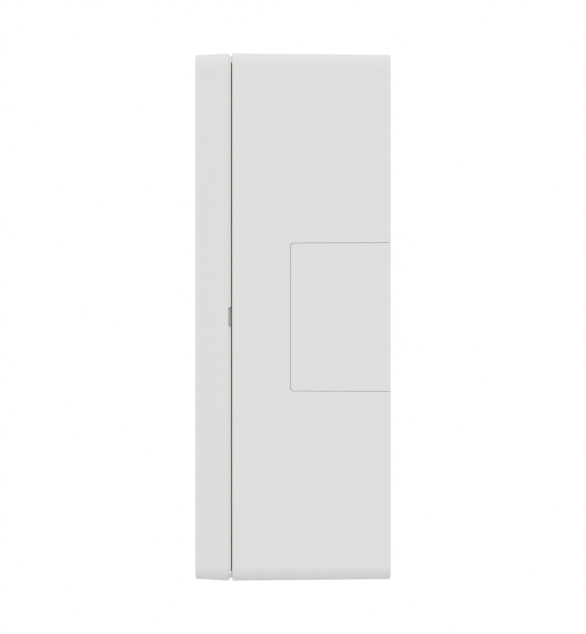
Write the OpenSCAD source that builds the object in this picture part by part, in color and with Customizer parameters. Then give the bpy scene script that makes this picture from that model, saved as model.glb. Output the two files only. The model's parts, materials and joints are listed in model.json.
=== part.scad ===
// Surface-mounted video doorbell. Millimetres. The origin is the centre of the wall plane, +X is right
// as seen by a visitor, +Y goes into the wall and +Z is up. The front face looks along -Y.

/* [Body] */
// Width of the doorbell
body_w = 82; // [76:1:100]
// Height of the doorbell
body_h = 148; // [146:1:180]
// Depth from the front face to the wall
body_d = 54.5; // [52:0.5:70]
// Corner radius of the outline, seen from the front
corner_r = 4.5; // [3.5:0.5:8]

/* [Rear housing] */
// Thickness of the wall that lies against the building
back_wall = 2.5; // [2:0.1:4]
// Thickness of the housing's side walls
side_wall = 2.4; // [1.6:0.1:3]
// How much each side of the housing draws in towards the wall
housing_draft = 0.41; // [0:0.01:1]
// Distance that the inner rim reaches in from the outline
rim_reach = 4.6; // [4:0.1:6]
// Depth of the thick part of the rim
rim_d = 3.15; // [2:0.05:6]
// Distance from the outline to the outer face of the upstand inside the cover
upstand_inset = 3.2; // [3:0.1:4]
// How far the upstand stands forward of the rim
upstand_d = 3.45; // [2:0.05:5]
// Size of the square corner bosses that carry the electronics
boss_w = 9.7; // [8:0.1:12]
// Radius of the pilot holes for the carrier screws
boss_pilot_r = 1.25; // [1:0.05:2]
// Distance between the wall screws, across
wall_hole_x = 60; // [50:0.5:66]
// Distance between the wall screws, up
wall_hole_z = 100; // [80:0.5:110]
// Radius of the wall screw holes
wall_hole_r = 2.25; // [1.5:0.05:3]
// Radius of the stiffening ring round each wall screw hole
wall_ring_r = 5.5; // [4:0.5:7]
// How far that ring stands off the back wall
wall_ring_d = 2; // [0.5:0.5:4]
// Distance from the outline to the groove of the wall gasket
gasket_inset = 4.5; // [3:0.5:8]
// Width of that groove
gasket_w = 3; // [2:0.5:5]
// Depth of that groove
gasket_d = 1.2; // [0.8:0.1:1.5]

/* [Cable entries] */
// Height of the rear cable entry, from the centre
entry_z = -13; // [-16:1:-12]
// Radius of the hole in the back wall
entry_hole_r = 9; // [6:0.5:10]
// Radius of the grommet's two flanges
grommet_flange_r = 11; // [8:0.5:12]
// Thickness of the flange on the wall side, which is let into the housing
grommet_outer_d = 1; // [0.5:0.1:1.4]
// Thickness of the flange inside the housing
grommet_inner_d = 2.5; // [1:0.5:4]
// Radius of the grommet's cable bore
cable_r = 4; // [2:0.1:6]
// Length of a side entry cover, from the wall plane
side_entry_d = 28; // [20:0.5:34]
// Height of a side entry cover at its front edge
side_entry_h = 41.36; // [30:0.02:60]
// Height of a side entry cover at the wall
side_entry_wall_h = 41.6; // [30:0.1:60]
// Radius of its front corners
side_entry_r = 1; // [0.5:0.1:3]
// Thickness of its outer plate
side_entry_skin = 1.2; // [0.8:0.1:1.6]
// Width of the ledge that its outer plate lies on
side_entry_ledge = 1.5; // [1:0.1:3]
// Fine seam all round its outer plate
side_entry_seam = 0.1; // [0.05:0.01:0.3]

/* [Front cover] */
// Depth of the skirt, from the front face to the lip
skirt_d = 9.25; // [6:0.05:14]
// How much each side of the skirt draws in towards the front
skirt_taper = 0.53; // [0:0.01:1.5]
// Thickness of the front plate
front_plate = 2.5; // [2:0.1:3.5]
// Thickness of the skirt's wall at the seam
skirt_wall = 2.6; // [2:0.1:3]
// Depth of the recessed lip behind the skirt
lip_d = 0.75; // [0.4:0.05:2]
// How far the lip is set in at the top and bottom
lip_end_inset = 0.87; // [0.3:0.01:1.5]
// How far the lip is set in at the sides
lip_side_inset = 0.3; // [0.1:0.01:1.5]
// Open seam between the lip and the rear housing
seam_gap = 0.3; // [0.1:0.05:0.6]
// Height of the end stretches where the lip closes the seam, from the top and bottom of the body
landing_h = 3.1; // [2.6:0.1:6]
// Height of the pry notches in the lip
notch_h = 5.35; // [4:0.05:8]
// Depth of the pry notches, from the side of the body
notch_depth = 1.9; // [1.2:0.1:2.2]
// Heights of the ribs that stop the cover against the upstand
stop_rib_z = [-55, 0, 55];

/* [Camera window] */
// Width of the dark window
window_w = 58; // [40:0.5:64]
// Height of the dark window
window_h = 44; // [30:0.5:44]
// Corner radius of the window
window_r = 6; // [2:0.5:12]
// Thickness of the window
window_d = 1.7; // [1:0.1:2]
// Width of the ledge that it is bonded to
window_ledge = 3; // [2:0.5:5]
// Height of the camera, from the centre
camera_z = 38; // [36:0.5:38]
// Radius of the clear glass in front of the lens
lens_cover_r = 9; // [8:0.5:12]

/* [Motion lens] */
// Width of the visible motion sensor lens
motion_w = 22; // [14:0.5:30]
// Height of the visible motion sensor lens
motion_h = 11; // [8:0.5:11]
// Height of its centre
motion_z = 7.5; // [7:0.5:8]

/* [Speaker] */
// Length of the speaker
speaker_w = 40; // [30:0.5:44]
// Height of the speaker
speaker_h = 17; // [12:0.5:17]
// Height of its centre
speaker_z = -10; // [-10:0.5:-9.5]
// Number of slots in the grille
grille_slots = 5; // [3:2:7]
// Distance between two slots
grille_pitch = 2.8; // [2:0.1:4]
// Width of one slot
grille_slot = 1.3; // [0.8:0.1:1.6]

/* [Call button] */
// Height of the call button's centre
button_z = -42; // [-42:0.5:-41.5]
// Radius of the button's face
button_r = 17; // [12:0.5:17]
// How far the button travels
button_travel = 1; // [0.5:0.1:1.2]
// Depth of the finger dish in its face
button_dish = 0.6; // [0.2:0.1:0.8]
// Width of the lit ring round it
ring_w = 2.15; // [1.5:0.05:2.2]
// Number of lamps behind the ring
ring_lamps = 8; // [4:1:12]

/* [Boards] */
// Width of the main board
board_w = 68; // [60:1:68]
// Height of the main board
board_h = 136; // [130:1:136]
// Thickness of both boards
board_d = 1.6; // [1:0.2:2]
// Thickness of the carrier frame behind the main board
carrier_d = 3; // [2:0.5:4]
// Distance from the wall plane to the carrier frame's back
carrier_back_d = 34; // [32:0.5:34]
// Width of the power board
power_w = 46; // [40:1:48]
// Height of the power board
power_h = 38; // [34:1:40]
// Height of the power board's centre
power_z = -43; // [-44:0.5:-42]

/* [Battery] */
// Radius of one round cell
cell_r = 9.3; // [8:0.1:9.4]
// Length of one cell without its nub
cell_l = 64.8; // [60:0.1:66]
// Heights of the two cells
cell_z = [31.2, 51.2];
// Distance from the wall plane to the cells' centres
cell_back_d = 22; // [20:0.5:23]

/* [Hidden] */
$fn = 64;
hull_fn = 32;
dish_fn = 360;
// Reach of a cutting shape beyond what it cuts, and overlap where two shapes become one solid
cut = 0.5;
bond = 0.01;

// Depths along Y of the shells
front_y = -body_d;
plate_back = front_y + front_plate;
skirt_back = front_y + skirt_d;
lip_back = skirt_back + lip_d;
rim_y = lip_back + seam_gap;
rim_back = rim_y + rim_d;
upstand_front = rim_y - upstand_d;
landing_slack = 0.03;
landing_back = rim_y - landing_slack;
cavity_back = -back_wall;

// Depths along Y of the boards
carrier_back = -carrier_back_d;
carrier_front = carrier_back - carrier_d;
board_back = carrier_front;
board_front = board_back - board_d;
power_back = -6.5;
power_front = power_back - board_d;

// Sizes that follow from the body
cavity_w = body_w - 2 * side_wall;
cavity_h = body_h - 2 * side_wall;
boss_x = 32.5;
boss_z = 65.5;
boss_shift = 1.35;
boss_pilot_l = 12;
power_boss_r = 2.5;
power_boss_skin = 0.5;
entry_skin_x = body_w / 2 - side_entry_skin;

// Cover gasket, round the foot of the upstand
seal_inset = 2.9;
seal_front = rim_y - 0.85;

// Retaining clips, bent over the upstand
clip_z = 35;
clip_w = 10;
clip_t = 0.3;
clip_slack = 0.02;
clip_outer_back = rim_y - 1.05;
clip_inner_back = rim_y + 0.65;

// Speaker stack
duct_wall = 2;
duct_w = speaker_w + 2;
duct_h = speaker_h + 2;
duct_back = plate_back + 2;
basket_front = board_front - 7.4;
basket_back = board_front - 3.4;
basket_wall = 2;
speaker_gasket_front = duct_back + 0.4;
mesh_t = 0.2;
mesh_slack = 0.2;

// Lit ring, which carries light from the main board to the front
ring_gap = 0.4;
ring_inner_r = button_r + ring_gap;
ring_outer_r = ring_inner_r + ring_w;
ring_skirt_r = ring_outer_r + 1.85;
ring_skirt_wall = 1.6;
ring_bore_r = ring_skirt_r - ring_skirt_wall;
ring_shoulder = plate_back + 1.2;
ring_back = board_front - 2.2;
lamp_radius = ring_skirt_r - ring_skirt_wall / 2;
lamp_w = 2.4;
lamp_d = 1;

// Call button
button_front = front_y + 0.1;
cap_face = 1.5;
cap_wall = 1.4;
cap_back = button_front + cap_face;
flange_r = ring_bore_r - ring_gap;
flange_front = ring_shoulder + 0.3;
flange_back = flange_front + 1.2;
post_r = 2.5;
collar_r = 8;
rib_t = 1.2;
dish_r = 15;
dish_sphere_r = (dish_r * dish_r + button_dish * button_dish) / (2 * button_dish);
icon_front = button_front + button_dish;
icon_d = 0.5;
return_pad_rise = 1.7;
retainer_front = flange_back + button_travel + return_pad_rise;
retainer_back = retainer_front + 1.5;
retainer_hole_r = 3;

// Small push switches
switch_w = 6;
switch_d = 3.5;
switch_front = board_front - switch_d;
stem_r = 1.7;
stem_gap = 0.08;
stem_out = 1.2;
stem_in = 0.7;
stem_travel = 0.3;
stem_well = stem_in + stem_travel + 0.4;
post_slack = 0.05;
post_back = switch_front - stem_out - (button_travel - stem_travel + post_slack);
reset_x = 28;
tamper_x = -28;
side_switch_z = 7;
tamper_d = 4;
tamper_stem_r = 1.2;
tamper_out = 1.8;
tamper_travel = 1.2;
tamper_in = tamper_travel + 0.8;
tamper_front = board_front - tamper_d;
tamper_post_back = tamper_front - tamper_out - 0.1;

// Camera stack
sensor_w = 22;
sensor_back = board_front - 1.8;
sensor_front = sensor_back - 1.2;
holder_w = 17;
holder_front = sensor_front - 3.4;
holder_tube_front = holder_front - 3.4;
holder_tube_r = 8;
thread_r = 6;
barrel_head_r = 7.4;
barrel_front = plate_back;
barrel_neck = barrel_front + 3;
barrel_back = sensor_front - 1.4;
arm_h = 6;
arm_d = 1.8;
pillar_x = 13.4;
pillar_r = 2.2;
infrared_post_x = 22;
infrared_back = holder_front - 1.8;
infrared_front = infrared_back - 1.2;
infrared_w = 50;
infrared_h = 20;
infrared_led_x = 16;
infrared_led_z = 6;

// Other small parts on the boards
microphone_z = -66.5;
status_z = 65;
pipe_r = 1.2;
terminal_ways = 4;
terminal_pitch = 5;
terminal_z = power_z + 13.5;
terminal_h = 10;
terminal_d = 12;
terminal_screw_r = 1.7;
lead_r = 0.7;
screw_slack = 0.05;
carrier_screw_r = boss_pilot_r - screw_slack;
board_screw_r = 0.95;
board_hole_r = board_screw_r + screw_slack;
board_hole_x = 31.5;
board_hole_z = 45;
power_hole_x = 20.5;
power_hole_z = 16;

// Rectangle with true round corners
module rounded_rect(w, h, r) {
    square([w - 2 * r, h], center = true);
    square([w, h - 2 * r], center = true);
    for (x = [-1, 1], z = [-1, 1])
        translate([x * (w / 2 - r), z * (h / 2 - r)]) circle(r);
}

// Rectangle with fully round ends
module pill(w, h) {
    square([w - h, h], center = true);
    for (x = [-1, 1])
        translate([x * (w - h) / 2, 0]) circle(h / 2);
}

// Gives a flat outline a thickness along Y, from its front to its back
module thick(front, back) {
    translate([0, back, 0])
        rotate([90, 0, 0])
        linear_extrude(back - front)
        children();
}

module plate(w, h, r, front, back) {
    thick(front, back) rounded_rect(w, h, r);
}

module block(w, h, front, back) {
    thick(front, back) square([w, h], center = true);
}

module pill_ring(w, h, wall, front, back) {
    thick(front, back)
        difference() {
            pill(w, h);
            pill(w - 2 * wall, h - 2 * wall);
        }
}

module rod(r, front, back) {
    translate([0, back, 0])
        rotate([90, 0, 0])
        cylinder(r = r, h = back - front);
}

module tube(outer, inner, front, back) {
    difference() {
        rod(outer, front, back);
        rod(inner, front - cut, back + cut);
    }
}

// Rounded frame between two insets from the body's outline
module outline_ring(outer_inset, inner_inset, front, back) {
    inner_r = max(corner_r - inner_inset, 0.5);
    outer_r = max(corner_r - outer_inset, 0.5);
    difference() {
        plate(body_w - 2 * outer_inset, body_h - 2 * outer_inset, outer_r, front, back);
        plate(body_w - 2 * inner_inset, body_h - 2 * inner_inset, inner_r, front - cut, back + cut);
    }
}

// Solid outline of the body whose corner radius and size change evenly with depth
module drafted(front_inset, back_inset, front, back) {
    hull()
        for (x = [-1, 1], z = [-1, 1])
            translate([x * (body_w / 2 - corner_r), back, z * (body_h / 2 - corner_r)])
                rotate([90, 0, 0])
                cylinder(
                    r1 = corner_r - back_inset, r2 = corner_r - front_inset,
                    h = back - front, $fn = hull_fn
                );
}

module at(x, z) {
    translate([x, 0, z]) children();
}

module both_sides() {
    children();
    mirror([1, 0, 0]) children();
}

module four(x, z) {
    for (sx = [-1, 1], sz = [-1, 1])
        at(sx * x, sz * z) children();
}

// Point a share t of the way from p[1] to p[2], on a smooth curve through all four
function curve_point(p, t) =
    0.5 * (2 * p[1] + (p[2] - p[0]) * t + (2 * p[0] - 5 * p[1] + 4 * p[2] - p[3]) * t * t
        + (3 * p[1] - p[0] - 3 * p[2] + p[3]) * t * t * t);

// Smooth path along a route. Its first and last stretches lead in and out and keep their directions.
function smooth_path(route, steps) = [
    for (i = [0 : len(route) - 2])
        let (
            before = i == 0 ? 2 * route[0] - route[1] : route[i - 1],
            after = i == len(route) - 2 ? 2 * route[i + 1] - route[i] : route[i + 2]
        )
            for (k = [0 : i == len(route) - 2 ? steps : steps - 1])
                curve_point([before, route[i], route[i + 1], after], k / steps)
];

function unit(v) = v / norm(v);

// Round wire swept along a route that never runs along X
module wire(route, r) {
    sides = 10;
    path = smooth_path(route, 4);
    last = len(path) - 1;
    ring_points = [
        for (i = [0 : last])
            let (
                run = unit(path[min(i + 1, last)] - path[max(i - 1, 0)]),
                u = unit(cross(run, [1, 0, 0])),
                v = cross(run, u)
            )
                for (k = [0 : sides - 1])
                    path[i] + r * (cos(k * 360 / sides) * u + sin(k * 360 / sides) * v)
    ];
    walls = [
        for (i = [0 : last - 1], k = [0 : sides - 1])
            let (next = (k + 1) % sides)
                [i * sides + k, (i + 1) * sides + k, (i + 1) * sides + next, i * sides + next]
    ];
    caps = [
        [for (k = [0 : sides - 1]) k],
        [for (k = [sides - 1 : -1 : 0]) last * sides + k]
    ];
    polyhedron(ring_points, concat(walls, caps));
}

// Pan-headed screw with a cross recess, its head towards the front
module screw(shank_r, head_r, head_d, under_head, length) {
    recess = head_d * 0.6;
    difference() {
        rod(head_r, under_head - head_d, under_head);
        for (turn = [0, 90])
            rotate([0, turn, 0])
                block(head_r * 1.2, head_r * 0.28, under_head - head_d - cut, under_head - head_d + recess);
    }
    rod(shank_r, under_head - bond, under_head + length);
}

// Outline of a side entry cover in the Y-Z plane, shrunk by a seam
module side_entry_outline(seam, wall_end) {
    r = side_entry_r;
    half = side_entry_h / 2 - seam;
    wall_half = side_entry_wall_h / 2 - seam;
    corner_y = -side_entry_d + seam + r;
    low = [for (a = [0 : 10 : 90]) [corner_y - r * sin(a), -half + r - r * cos(a)]];
    high = [for (a = [90 : -10 : 0]) [corner_y - r * sin(a), half - r + r * cos(a)]];
    polygon(concat([[wall_end, -wall_half]], low, high, [[wall_end, wall_half]]));
}

// Gives an outline in the Y-Z plane a thickness along X
module sideways(x_from, x_to) {
    translate([x_from, 0, 0])
        rotate([90, 0, 90])
        linear_extrude(x_to - x_from)
        children();
}

// Opening behind a side entry cover, inside its ledge
module side_entry_window(shrink, x_from, x_to) {
    low_y = -side_entry_d + side_entry_ledge + shrink;
    high_y = -back_wall - side_entry_ledge - shrink;
    half = side_entry_h / 2 - side_entry_ledge - shrink;
    translate([x_from, low_y, -half])
        cube([x_to - x_from, high_y - low_y, 2 * half]);
}

module rear_housing() {
    rim_opening_w = body_w - 2 * rim_reach;
    rim_opening_h = body_h - 2 * rim_reach;
    color("#ECECE8")
        difference() {
            union() {
                difference() {
                    drafted(0, housing_draft, rim_y, 0);
                    plate(cavity_w, cavity_h, corner_r - side_wall, rim_back, cavity_back);
                    plate(rim_opening_w, rim_opening_h, 0.5, rim_y - cut, rim_back + cut);
                }
                outline_ring(upstand_inset, rim_reach, upstand_front, rim_y + bond);
                four(boss_x + boss_shift, boss_z + boss_shift)
                    block(boss_w, boss_w, carrier_back, cavity_back + bond);
                four(wall_hole_x / 2, wall_hole_z / 2)
                    rod(wall_ring_r, cavity_back - wall_ring_d, cavity_back + bond);
                at(0, power_z)
                    four(power_hole_x, power_hole_z)
                    rod(power_boss_r, power_back, cavity_back + bond);
            }
            four(boss_x, boss_z) rod(boss_pilot_r, carrier_back - cut, carrier_back + boss_pilot_l);
            four(wall_hole_x / 2, wall_hole_z / 2) rod(wall_hole_r, cavity_back - 5, cut);
            at(0, power_z)
                four(power_hole_x, power_hole_z)
                rod(board_hole_r, power_back - cut, cavity_back - power_boss_skin);
            at(0, entry_z) rod(entry_hole_r, cavity_back - cut, cut);
            at(0, entry_z) rod(grommet_flange_r + 0.1, -grommet_outer_d, cut);
            outline_ring(gasket_inset, gasket_inset + gasket_w, -gasket_d, cut);
            both_sides()
                sideways(entry_skin_x, body_w / 2 + cut)
                side_entry_outline(0, cut);
            both_sides()
                side_entry_window(0, cavity_w / 2 - cut, entry_skin_x + cut);
        }
}

module wall_gasket() {
    color("#2B2B2B")
        outline_ring(gasket_inset, gasket_inset + gasket_w, -gasket_d, 0);
}

module cable_grommet() {
    color("#232323")
        at(0, entry_z)
        difference() {
            union() {
                rod(grommet_flange_r, cavity_back - grommet_inner_d, cavity_back);
                rod(entry_hole_r - 0.05, cavity_back - bond, -grommet_outer_d + bond);
                rod(grommet_flange_r, -grommet_outer_d, 0);
            }
            rod(cable_r, cavity_back - grommet_inner_d - cut, cut);
        }
}

module cover_gasket() {
    color("#2B2B2B")
        outline_ring(seal_inset, upstand_inset, seal_front, rim_y);
}

module retaining_clips() {
    outer_x = body_w / 2 - upstand_inset + clip_slack;
    inner_x = body_w / 2 - rim_reach - clip_slack;
    bridge_front = upstand_front - clip_slack - clip_t;
    color("#B9BCC0")
        four(0, clip_z)
        both_sides() {
            translate([outer_x, bridge_front, -clip_w / 2])
                cube([clip_t, clip_outer_back - bridge_front, clip_w]);
            translate([inner_x - clip_t, bridge_front, -clip_w / 2])
                cube([outer_x - inner_x + 2 * clip_t, clip_t, clip_w]);
            translate([inner_x - clip_t, bridge_front, -clip_w / 2])
                cube([clip_t, clip_inner_back - bridge_front, clip_w]);
        }
}

module carrier_frame() {
    window_x = 56;
    color("#3A3D40")
        difference() {
            plate(71, 137, 2, carrier_front, carrier_back);
            at(0, 42) plate(window_x, 36, 3, carrier_front - cut, carrier_back + cut);
            plate(window_x, 30, 3, carrier_front - cut, carrier_back + cut);
            at(0, -41) plate(window_x, 36, 3, carrier_front - cut, carrier_back + cut);
            four(boss_x, boss_z) rod(boss_pilot_r + 0.3, carrier_front - cut, carrier_back + cut);
            four(board_hole_x, board_hole_z)
                rod(board_hole_r, carrier_front - cut, carrier_back + cut);
        }
}

module carrier_screws() {
    color("#C9CCCF")
        four(boss_x, boss_z)
        screw(carrier_screw_r, 2.3, 1.6, carrier_front, 10);
}

module board_screws() {
    color("#C9CCCF") {
        four(board_hole_x, board_hole_z)
            screw(board_screw_r, 1.9, 1.2, board_front, 4.2);
        at(0, power_z)
            four(power_hole_x, power_hole_z)
            screw(board_screw_r, 1.9, 1.2, power_front, 4.6);
    }
}

// A round cell's place, lying along X
module lying(z) {
    translate([0, -cell_back_d, z])
        rotate([0, 90, 0])
        children();
}

module battery_cradle() {
    channel_r = cell_r + 0.2;
    channel_l = cell_l + 2.8;
    mid_z = (cell_z[0] + cell_z[1]) / 2;
    cradle_h = cell_z[1] - cell_z[0] + 2 * channel_r + 2;
    color("#3A3D40")
        difference() {
            at(0, mid_z) block(72, cradle_h, carrier_back, -cell_back_d + 6);
            for (z = cell_z)
                lying(z) cylinder(r = channel_r, h = channel_l, center = true);
            for (x = [-18, 18])
                at(x, mid_z) block(12, cradle_h - 12, carrier_back - cut, -cell_back_d - cell_r);
        }
}

module battery_cells() {
    color("#2F6DA8")
        for (z = cell_z)
            lying(z) {
                cylinder(r = cell_r, h = cell_l, center = true);
                translate([0, 0, cell_l / 2 - bond]) cylinder(r = 3, h = 1 + bond);
            }
}

module battery_contacts() {
    plate_t = 0.4;
    end_x = cell_l / 2 + 1.4;
    color("#D0D2D4")
        for (z = cell_z)
            translate([0, -cell_back_d, z]) {
                translate([end_x - plate_t, -5, -5]) cube([plate_t, 10, 10]);
                translate([-end_x, -5, -5]) cube([plate_t, 10, 10]);
                translate([-end_x + plate_t - bond, 0, 0])
                    rotate([0, 90, 0])
                    cylinder(r1 = 4, r2 = 2.4, h = end_x - plate_t - cell_l / 2);
            }
}

module battery_leads() {
    color("#B03030")
        for (x = [18.8, 21.2])
            wire([[x, -24, 20.7], [x, -24, 16], [x, -26, 10], [x, -29, 6], [x, -32, 6]], lead_r);
}

module power_leads() {
    color("#B03030")
        for (x = [15.6, 18])
            wire([[x, -13.1, -37.5], [x, -18, -37.5], [x + 3.2, -28, -40], [x + 3.2, -32, -40]], lead_r);
}

module power_board() {
    color("#2F7D4B")
        at(0, power_z)
        difference() {
            plate(power_w, power_h, 1.5, power_front, power_back);
            four(power_hole_x, power_hole_z) rod(board_hole_r, power_front - cut, power_back + cut);
        }
}

module terminal_block() {
    color("#2E8B57")
        at(0, terminal_z)
        difference() {
            block(terminal_ways * terminal_pitch, terminal_h, power_front - terminal_d, power_front);
            for (i = [0 : terminal_ways - 1]) {
                x = (i - (terminal_ways - 1) / 2) * terminal_pitch;
                at(x, -1) rod(terminal_screw_r + 0.1, power_front - terminal_d - cut, power_front - 5);
                translate([x, power_front - 4, -1]) cylinder(r = 1.6, h = terminal_h);
            }
        }
}

module terminal_screws() {
    slot_d = 0.8;
    screw_front = power_front - terminal_d + 3;
    color("#C9CCCF")
        at(0, terminal_z)
        for (i = [0 : terminal_ways - 1])
            at((i - (terminal_ways - 1) / 2) * terminal_pitch, -1)
                difference() {
                    rod(terminal_screw_r, screw_front, power_front - 5);
                    block(2 * terminal_screw_r + cut, 0.6, screw_front - cut, screw_front + slot_d);
                }
}

module power_transformer() {
    color("#4A4238")
        at(-12, power_z - 6) {
            block(17, 15, power_front - 1.6, power_front);
            plate(12, 15, 2, power_front - 12.4, power_front - 1.5);
            block(17, 6, power_front - 14, power_front - 1.5);
        }
}

module bulk_capacitors() {
    color("#26303C")
        for (z = [power_z - 13.5, power_z - 4])
            at(2.4, z) {
                tube(4, 3.2, power_front - 13, power_front - 12.4);
                rod(4, power_front - 12.5, power_front);
            }
}

module chime_relay() {
    color("#2B5C9B")
        at(12.6, power_z - 8)
        plate(10, 15.5, 0.6, power_front - 11, power_front);
}

module main_board() {
    notch = 5.5;
    color("#1F6B45")
        difference() {
            plate(board_w, board_h, 1, board_front, board_back);
            four(board_w / 2, board_h / 2)
                block(2 * notch, 2 * notch + 1, board_front - cut, board_back + cut);
            four(board_hole_x, board_hole_z) rod(board_hole_r, board_front - cut, board_back + cut);
        }
}

module processor_shield() {
    color("#C7CACC")
        at(-16, 56)
        plate(20, 14, 0.6, board_front - 2.2, board_front);
}

module board_chips() {
    color("#1E1F21") {
        both_sides() at(25.4, camera_z) plate(7.4, 10, 0.3, board_front - 1, board_front);
        at(28, -12) plate(5, 5, 0.2, board_front - 0.9, board_front);
        at(-28, -12) plate(6, 6, 0.2, board_front - 0.9, board_front);
        at(-26, 22) plate(7, 7, 0.2, board_front - 0.9, board_front);
    }
}

module wireless_module() {
    color("#30343A")
        at(17, 56) {
            block(18, 13, board_front - 0.8, board_front);
            at(-2.6, 0) plate(11.6, 11, 0.5, board_front - 2.4, board_front - 0.79);
        }
}

module board_connectors() {
    color("#EDEBE2") {
        for (x = [-27, 27])
            at(x, -27)
                difference() {
                    block(6, 5, board_front - 4, board_front);
                    block(4.6, 3.4, board_front - 4 - cut, board_front - 1.2);
                }
        at(0, 19.4) block(11, 3.4, board_front - 1.2, board_front);
        for (z = [6, -40])
            at(20, z) block(8, 5, board_back, board_back + 5);
        at(16.8, power_z + 5.5) block(7, 5, power_front - 5, power_front);
    }
}

module image_sensor_board() {
    color("#1F6B45")
        at(0, camera_z) {
            block(sensor_w, sensor_w, sensor_front, sensor_back);
            block(7.6, 6, sensor_front - 0.9, sensor_front + bond);
            block(9, 3, sensor_back - bond, board_front);
        }
}

module camera_holder() {
    color("#232426")
        at(0, camera_z)
        difference() {
            union() {
                plate(holder_w, holder_w, 1.2, holder_front, sensor_front);
                rod(holder_tube_r, holder_tube_front, holder_front + bond);
                block(2 * infrared_post_x + 4, arm_h, holder_front, holder_front + arm_d);
                both_sides() at(pillar_x, 0) rod(pillar_r, holder_front + arm_d - bond, board_front);
                both_sides() at(infrared_post_x, 0) rod(1.8, infrared_back, holder_front + bond);
            }
            rod(thread_r + 0.05, holder_tube_front - cut, sensor_front + cut);
        }
}

module lens_barrel() {
    color("#161718")
        at(0, camera_z)
        difference() {
            union() {
                rod(thread_r, barrel_neck - bond, barrel_back);
                rod(barrel_head_r, barrel_front, barrel_neck);
            }
            rod(4.2, barrel_front - cut, barrel_back + cut);
            rod(4.95, barrel_front - cut, barrel_front + 2);
            translate([0, barrel_front + 0.6, 0])
                rotate([90, 0, 0])
                cylinder(r1 = 4.95, r2 = 6.2, h = 0.61);
        }
}

module lens_elements() {
    front_r = 4.9;
    bulge = 0.9;
    ball_r = (front_r * front_r + bulge * bulge) / (2 * bulge);
    glass_front = barrel_front + 0.7;
    color("#6E7F9E")
        at(0, camera_z) {
            intersection() {
                rod(front_r, glass_front - cut, barrel_front + 2);
                translate([0, glass_front + ball_r, 0]) sphere(ball_r, $fn = 200);
            }
            rod(4.1, barrel_back - 2.4, barrel_back - 1.2);
        }
}

module camera_flex() {
    flex_t = 0.2;
    flex_w = 8;
    edge_z = camera_z - sensor_w / 2;
    flex_y = sensor_back - 0.7;
    foot_y = board_front - 1.4;
    color("#B5722E") {
        at(0, edge_z - 2.6) block(flex_w, 5.2, flex_y, flex_y + flex_t);
        at(0, edge_z - 5.1) block(flex_w, flex_t, flex_y, foot_y);
        at(0, edge_z - 7.5) block(flex_w, 5, foot_y, foot_y + flex_t);
    }
}

module infrared_board() {
    color("#1C1D1F")
        at(0, camera_z)
        difference() {
            plate(infrared_w, infrared_h, 2, infrared_front, infrared_back);
            rod(holder_tube_r + 0.3, infrared_front - cut, infrared_back + cut);
        }
}

module infrared_leds() {
    color("#3B3346")
        at(0, camera_z)
        four(infrared_led_x, infrared_led_z) {
            block(3.2, 3.2, infrared_front - 1, infrared_front);
            intersection() {
                rod(1.5, infrared_front - 3, infrared_front - 0.99);
                translate([0, infrared_front - 1, 0]) sphere(1.5);
            }
        }
}

module light_sensor() {
    color("#E9E6DC")
        at(infrared_post_x + 0.6, camera_z)
        block(2, 2, infrared_front - 0.7, infrared_front);
}

module motion_sensor() {
    can_front = board_front - 4;
    color("#C2C5C7")
        at(0, motion_z - 0.5)
        difference() {
            union() {
                rod(4.1, can_front, board_front);
                rod(4.65, board_front - 0.5, board_front);
            }
            block(4, 3, can_front - cut, can_front + 0.3);
        }
}

module speaker_basket() {
    color("#2A2C2E")
        at(0, speaker_z) {
            pill_ring(speaker_w, speaker_h, basket_wall, basket_front, basket_back);
            thick(basket_back - 0.8, basket_back)
                difference() {
                    pill(speaker_w - 1, speaker_h - 1);
                    for (x = [-11.5, 11.5])
                        translate([x, 0]) circle(2.6);
                }
        }
}

module speaker_magnet() {
    color("#A9ACAF")
        at(0, speaker_z)
        plate(17, 12, 2, basket_back, board_front);
}

module speaker_cone() {
    color("#4B4D50")
        at(0, speaker_z) {
            thick(basket_front + 0.9, basket_front + 1.3)
                pill(speaker_w - 2 * basket_wall - 0.2, speaker_h - 2 * basket_wall - 0.2);
            pill_ring(speaker_w - 7, speaker_h - 7, 0.8, basket_front + 0.4, basket_front + 0.91);
            intersection() {
                rod(4, basket_front, basket_front + 0.91);
                translate([0, basket_front + 9.2, 0]) sphere(9, $fn = 120);
            }
        }
}

module speaker_gasket() {
    color("#2B2B2B")
        at(0, speaker_z)
        pill_ring(speaker_w, speaker_h, basket_wall, speaker_gasket_front, basket_front);
}

module microphone() {
    color("#D6B45A")
        at(0, microphone_z)
        difference() {
            block(3.4, 2.6, board_front - 1, board_front);
            rod(0.3, board_front - 1 - cut, board_front - 0.6);
        }
}

module microphone_boot() {
    color("#2B2B2B")
        at(0, microphone_z)
        tube(1.9, 0.8, plate_back + 0.4, board_front - 1);
}

module push_switch() {
    difference() {
        plate(switch_w, switch_w, 0.4, switch_front, board_front);
        rod(stem_r + stem_gap, switch_front - cut, switch_front + stem_well);
    }
}

module push_stem() {
    rod(stem_r, switch_front - stem_out, switch_front + stem_in);
}

module switch_bodies() {
    color("#1B1C1E") {
        at(0, button_z) push_switch();
        at(reset_x, side_switch_z) push_switch();
    }
}

module tamper_switch_body() {
    color("#1B1C1E")
        at(tamper_x, side_switch_z)
        difference() {
            plate(switch_w, switch_w, 0.4, tamper_front, board_front);
            rod(tamper_stem_r + stem_gap, tamper_front - cut, tamper_front + tamper_in + 0.4);
        }
}

module indicator_leds() {
    color("#F2F0DC") {
        for (i = [0 : ring_lamps - 1])
            at(0, button_z)
                rotate([0, (i + 0.5) * 360 / ring_lamps, 0])
                at(lamp_radius, 0) block(lamp_w, lamp_w, board_front - lamp_d, board_front);
        at(0, status_z) block(lamp_w, lamp_w, board_front - lamp_d, board_front);
    }
}

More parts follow.
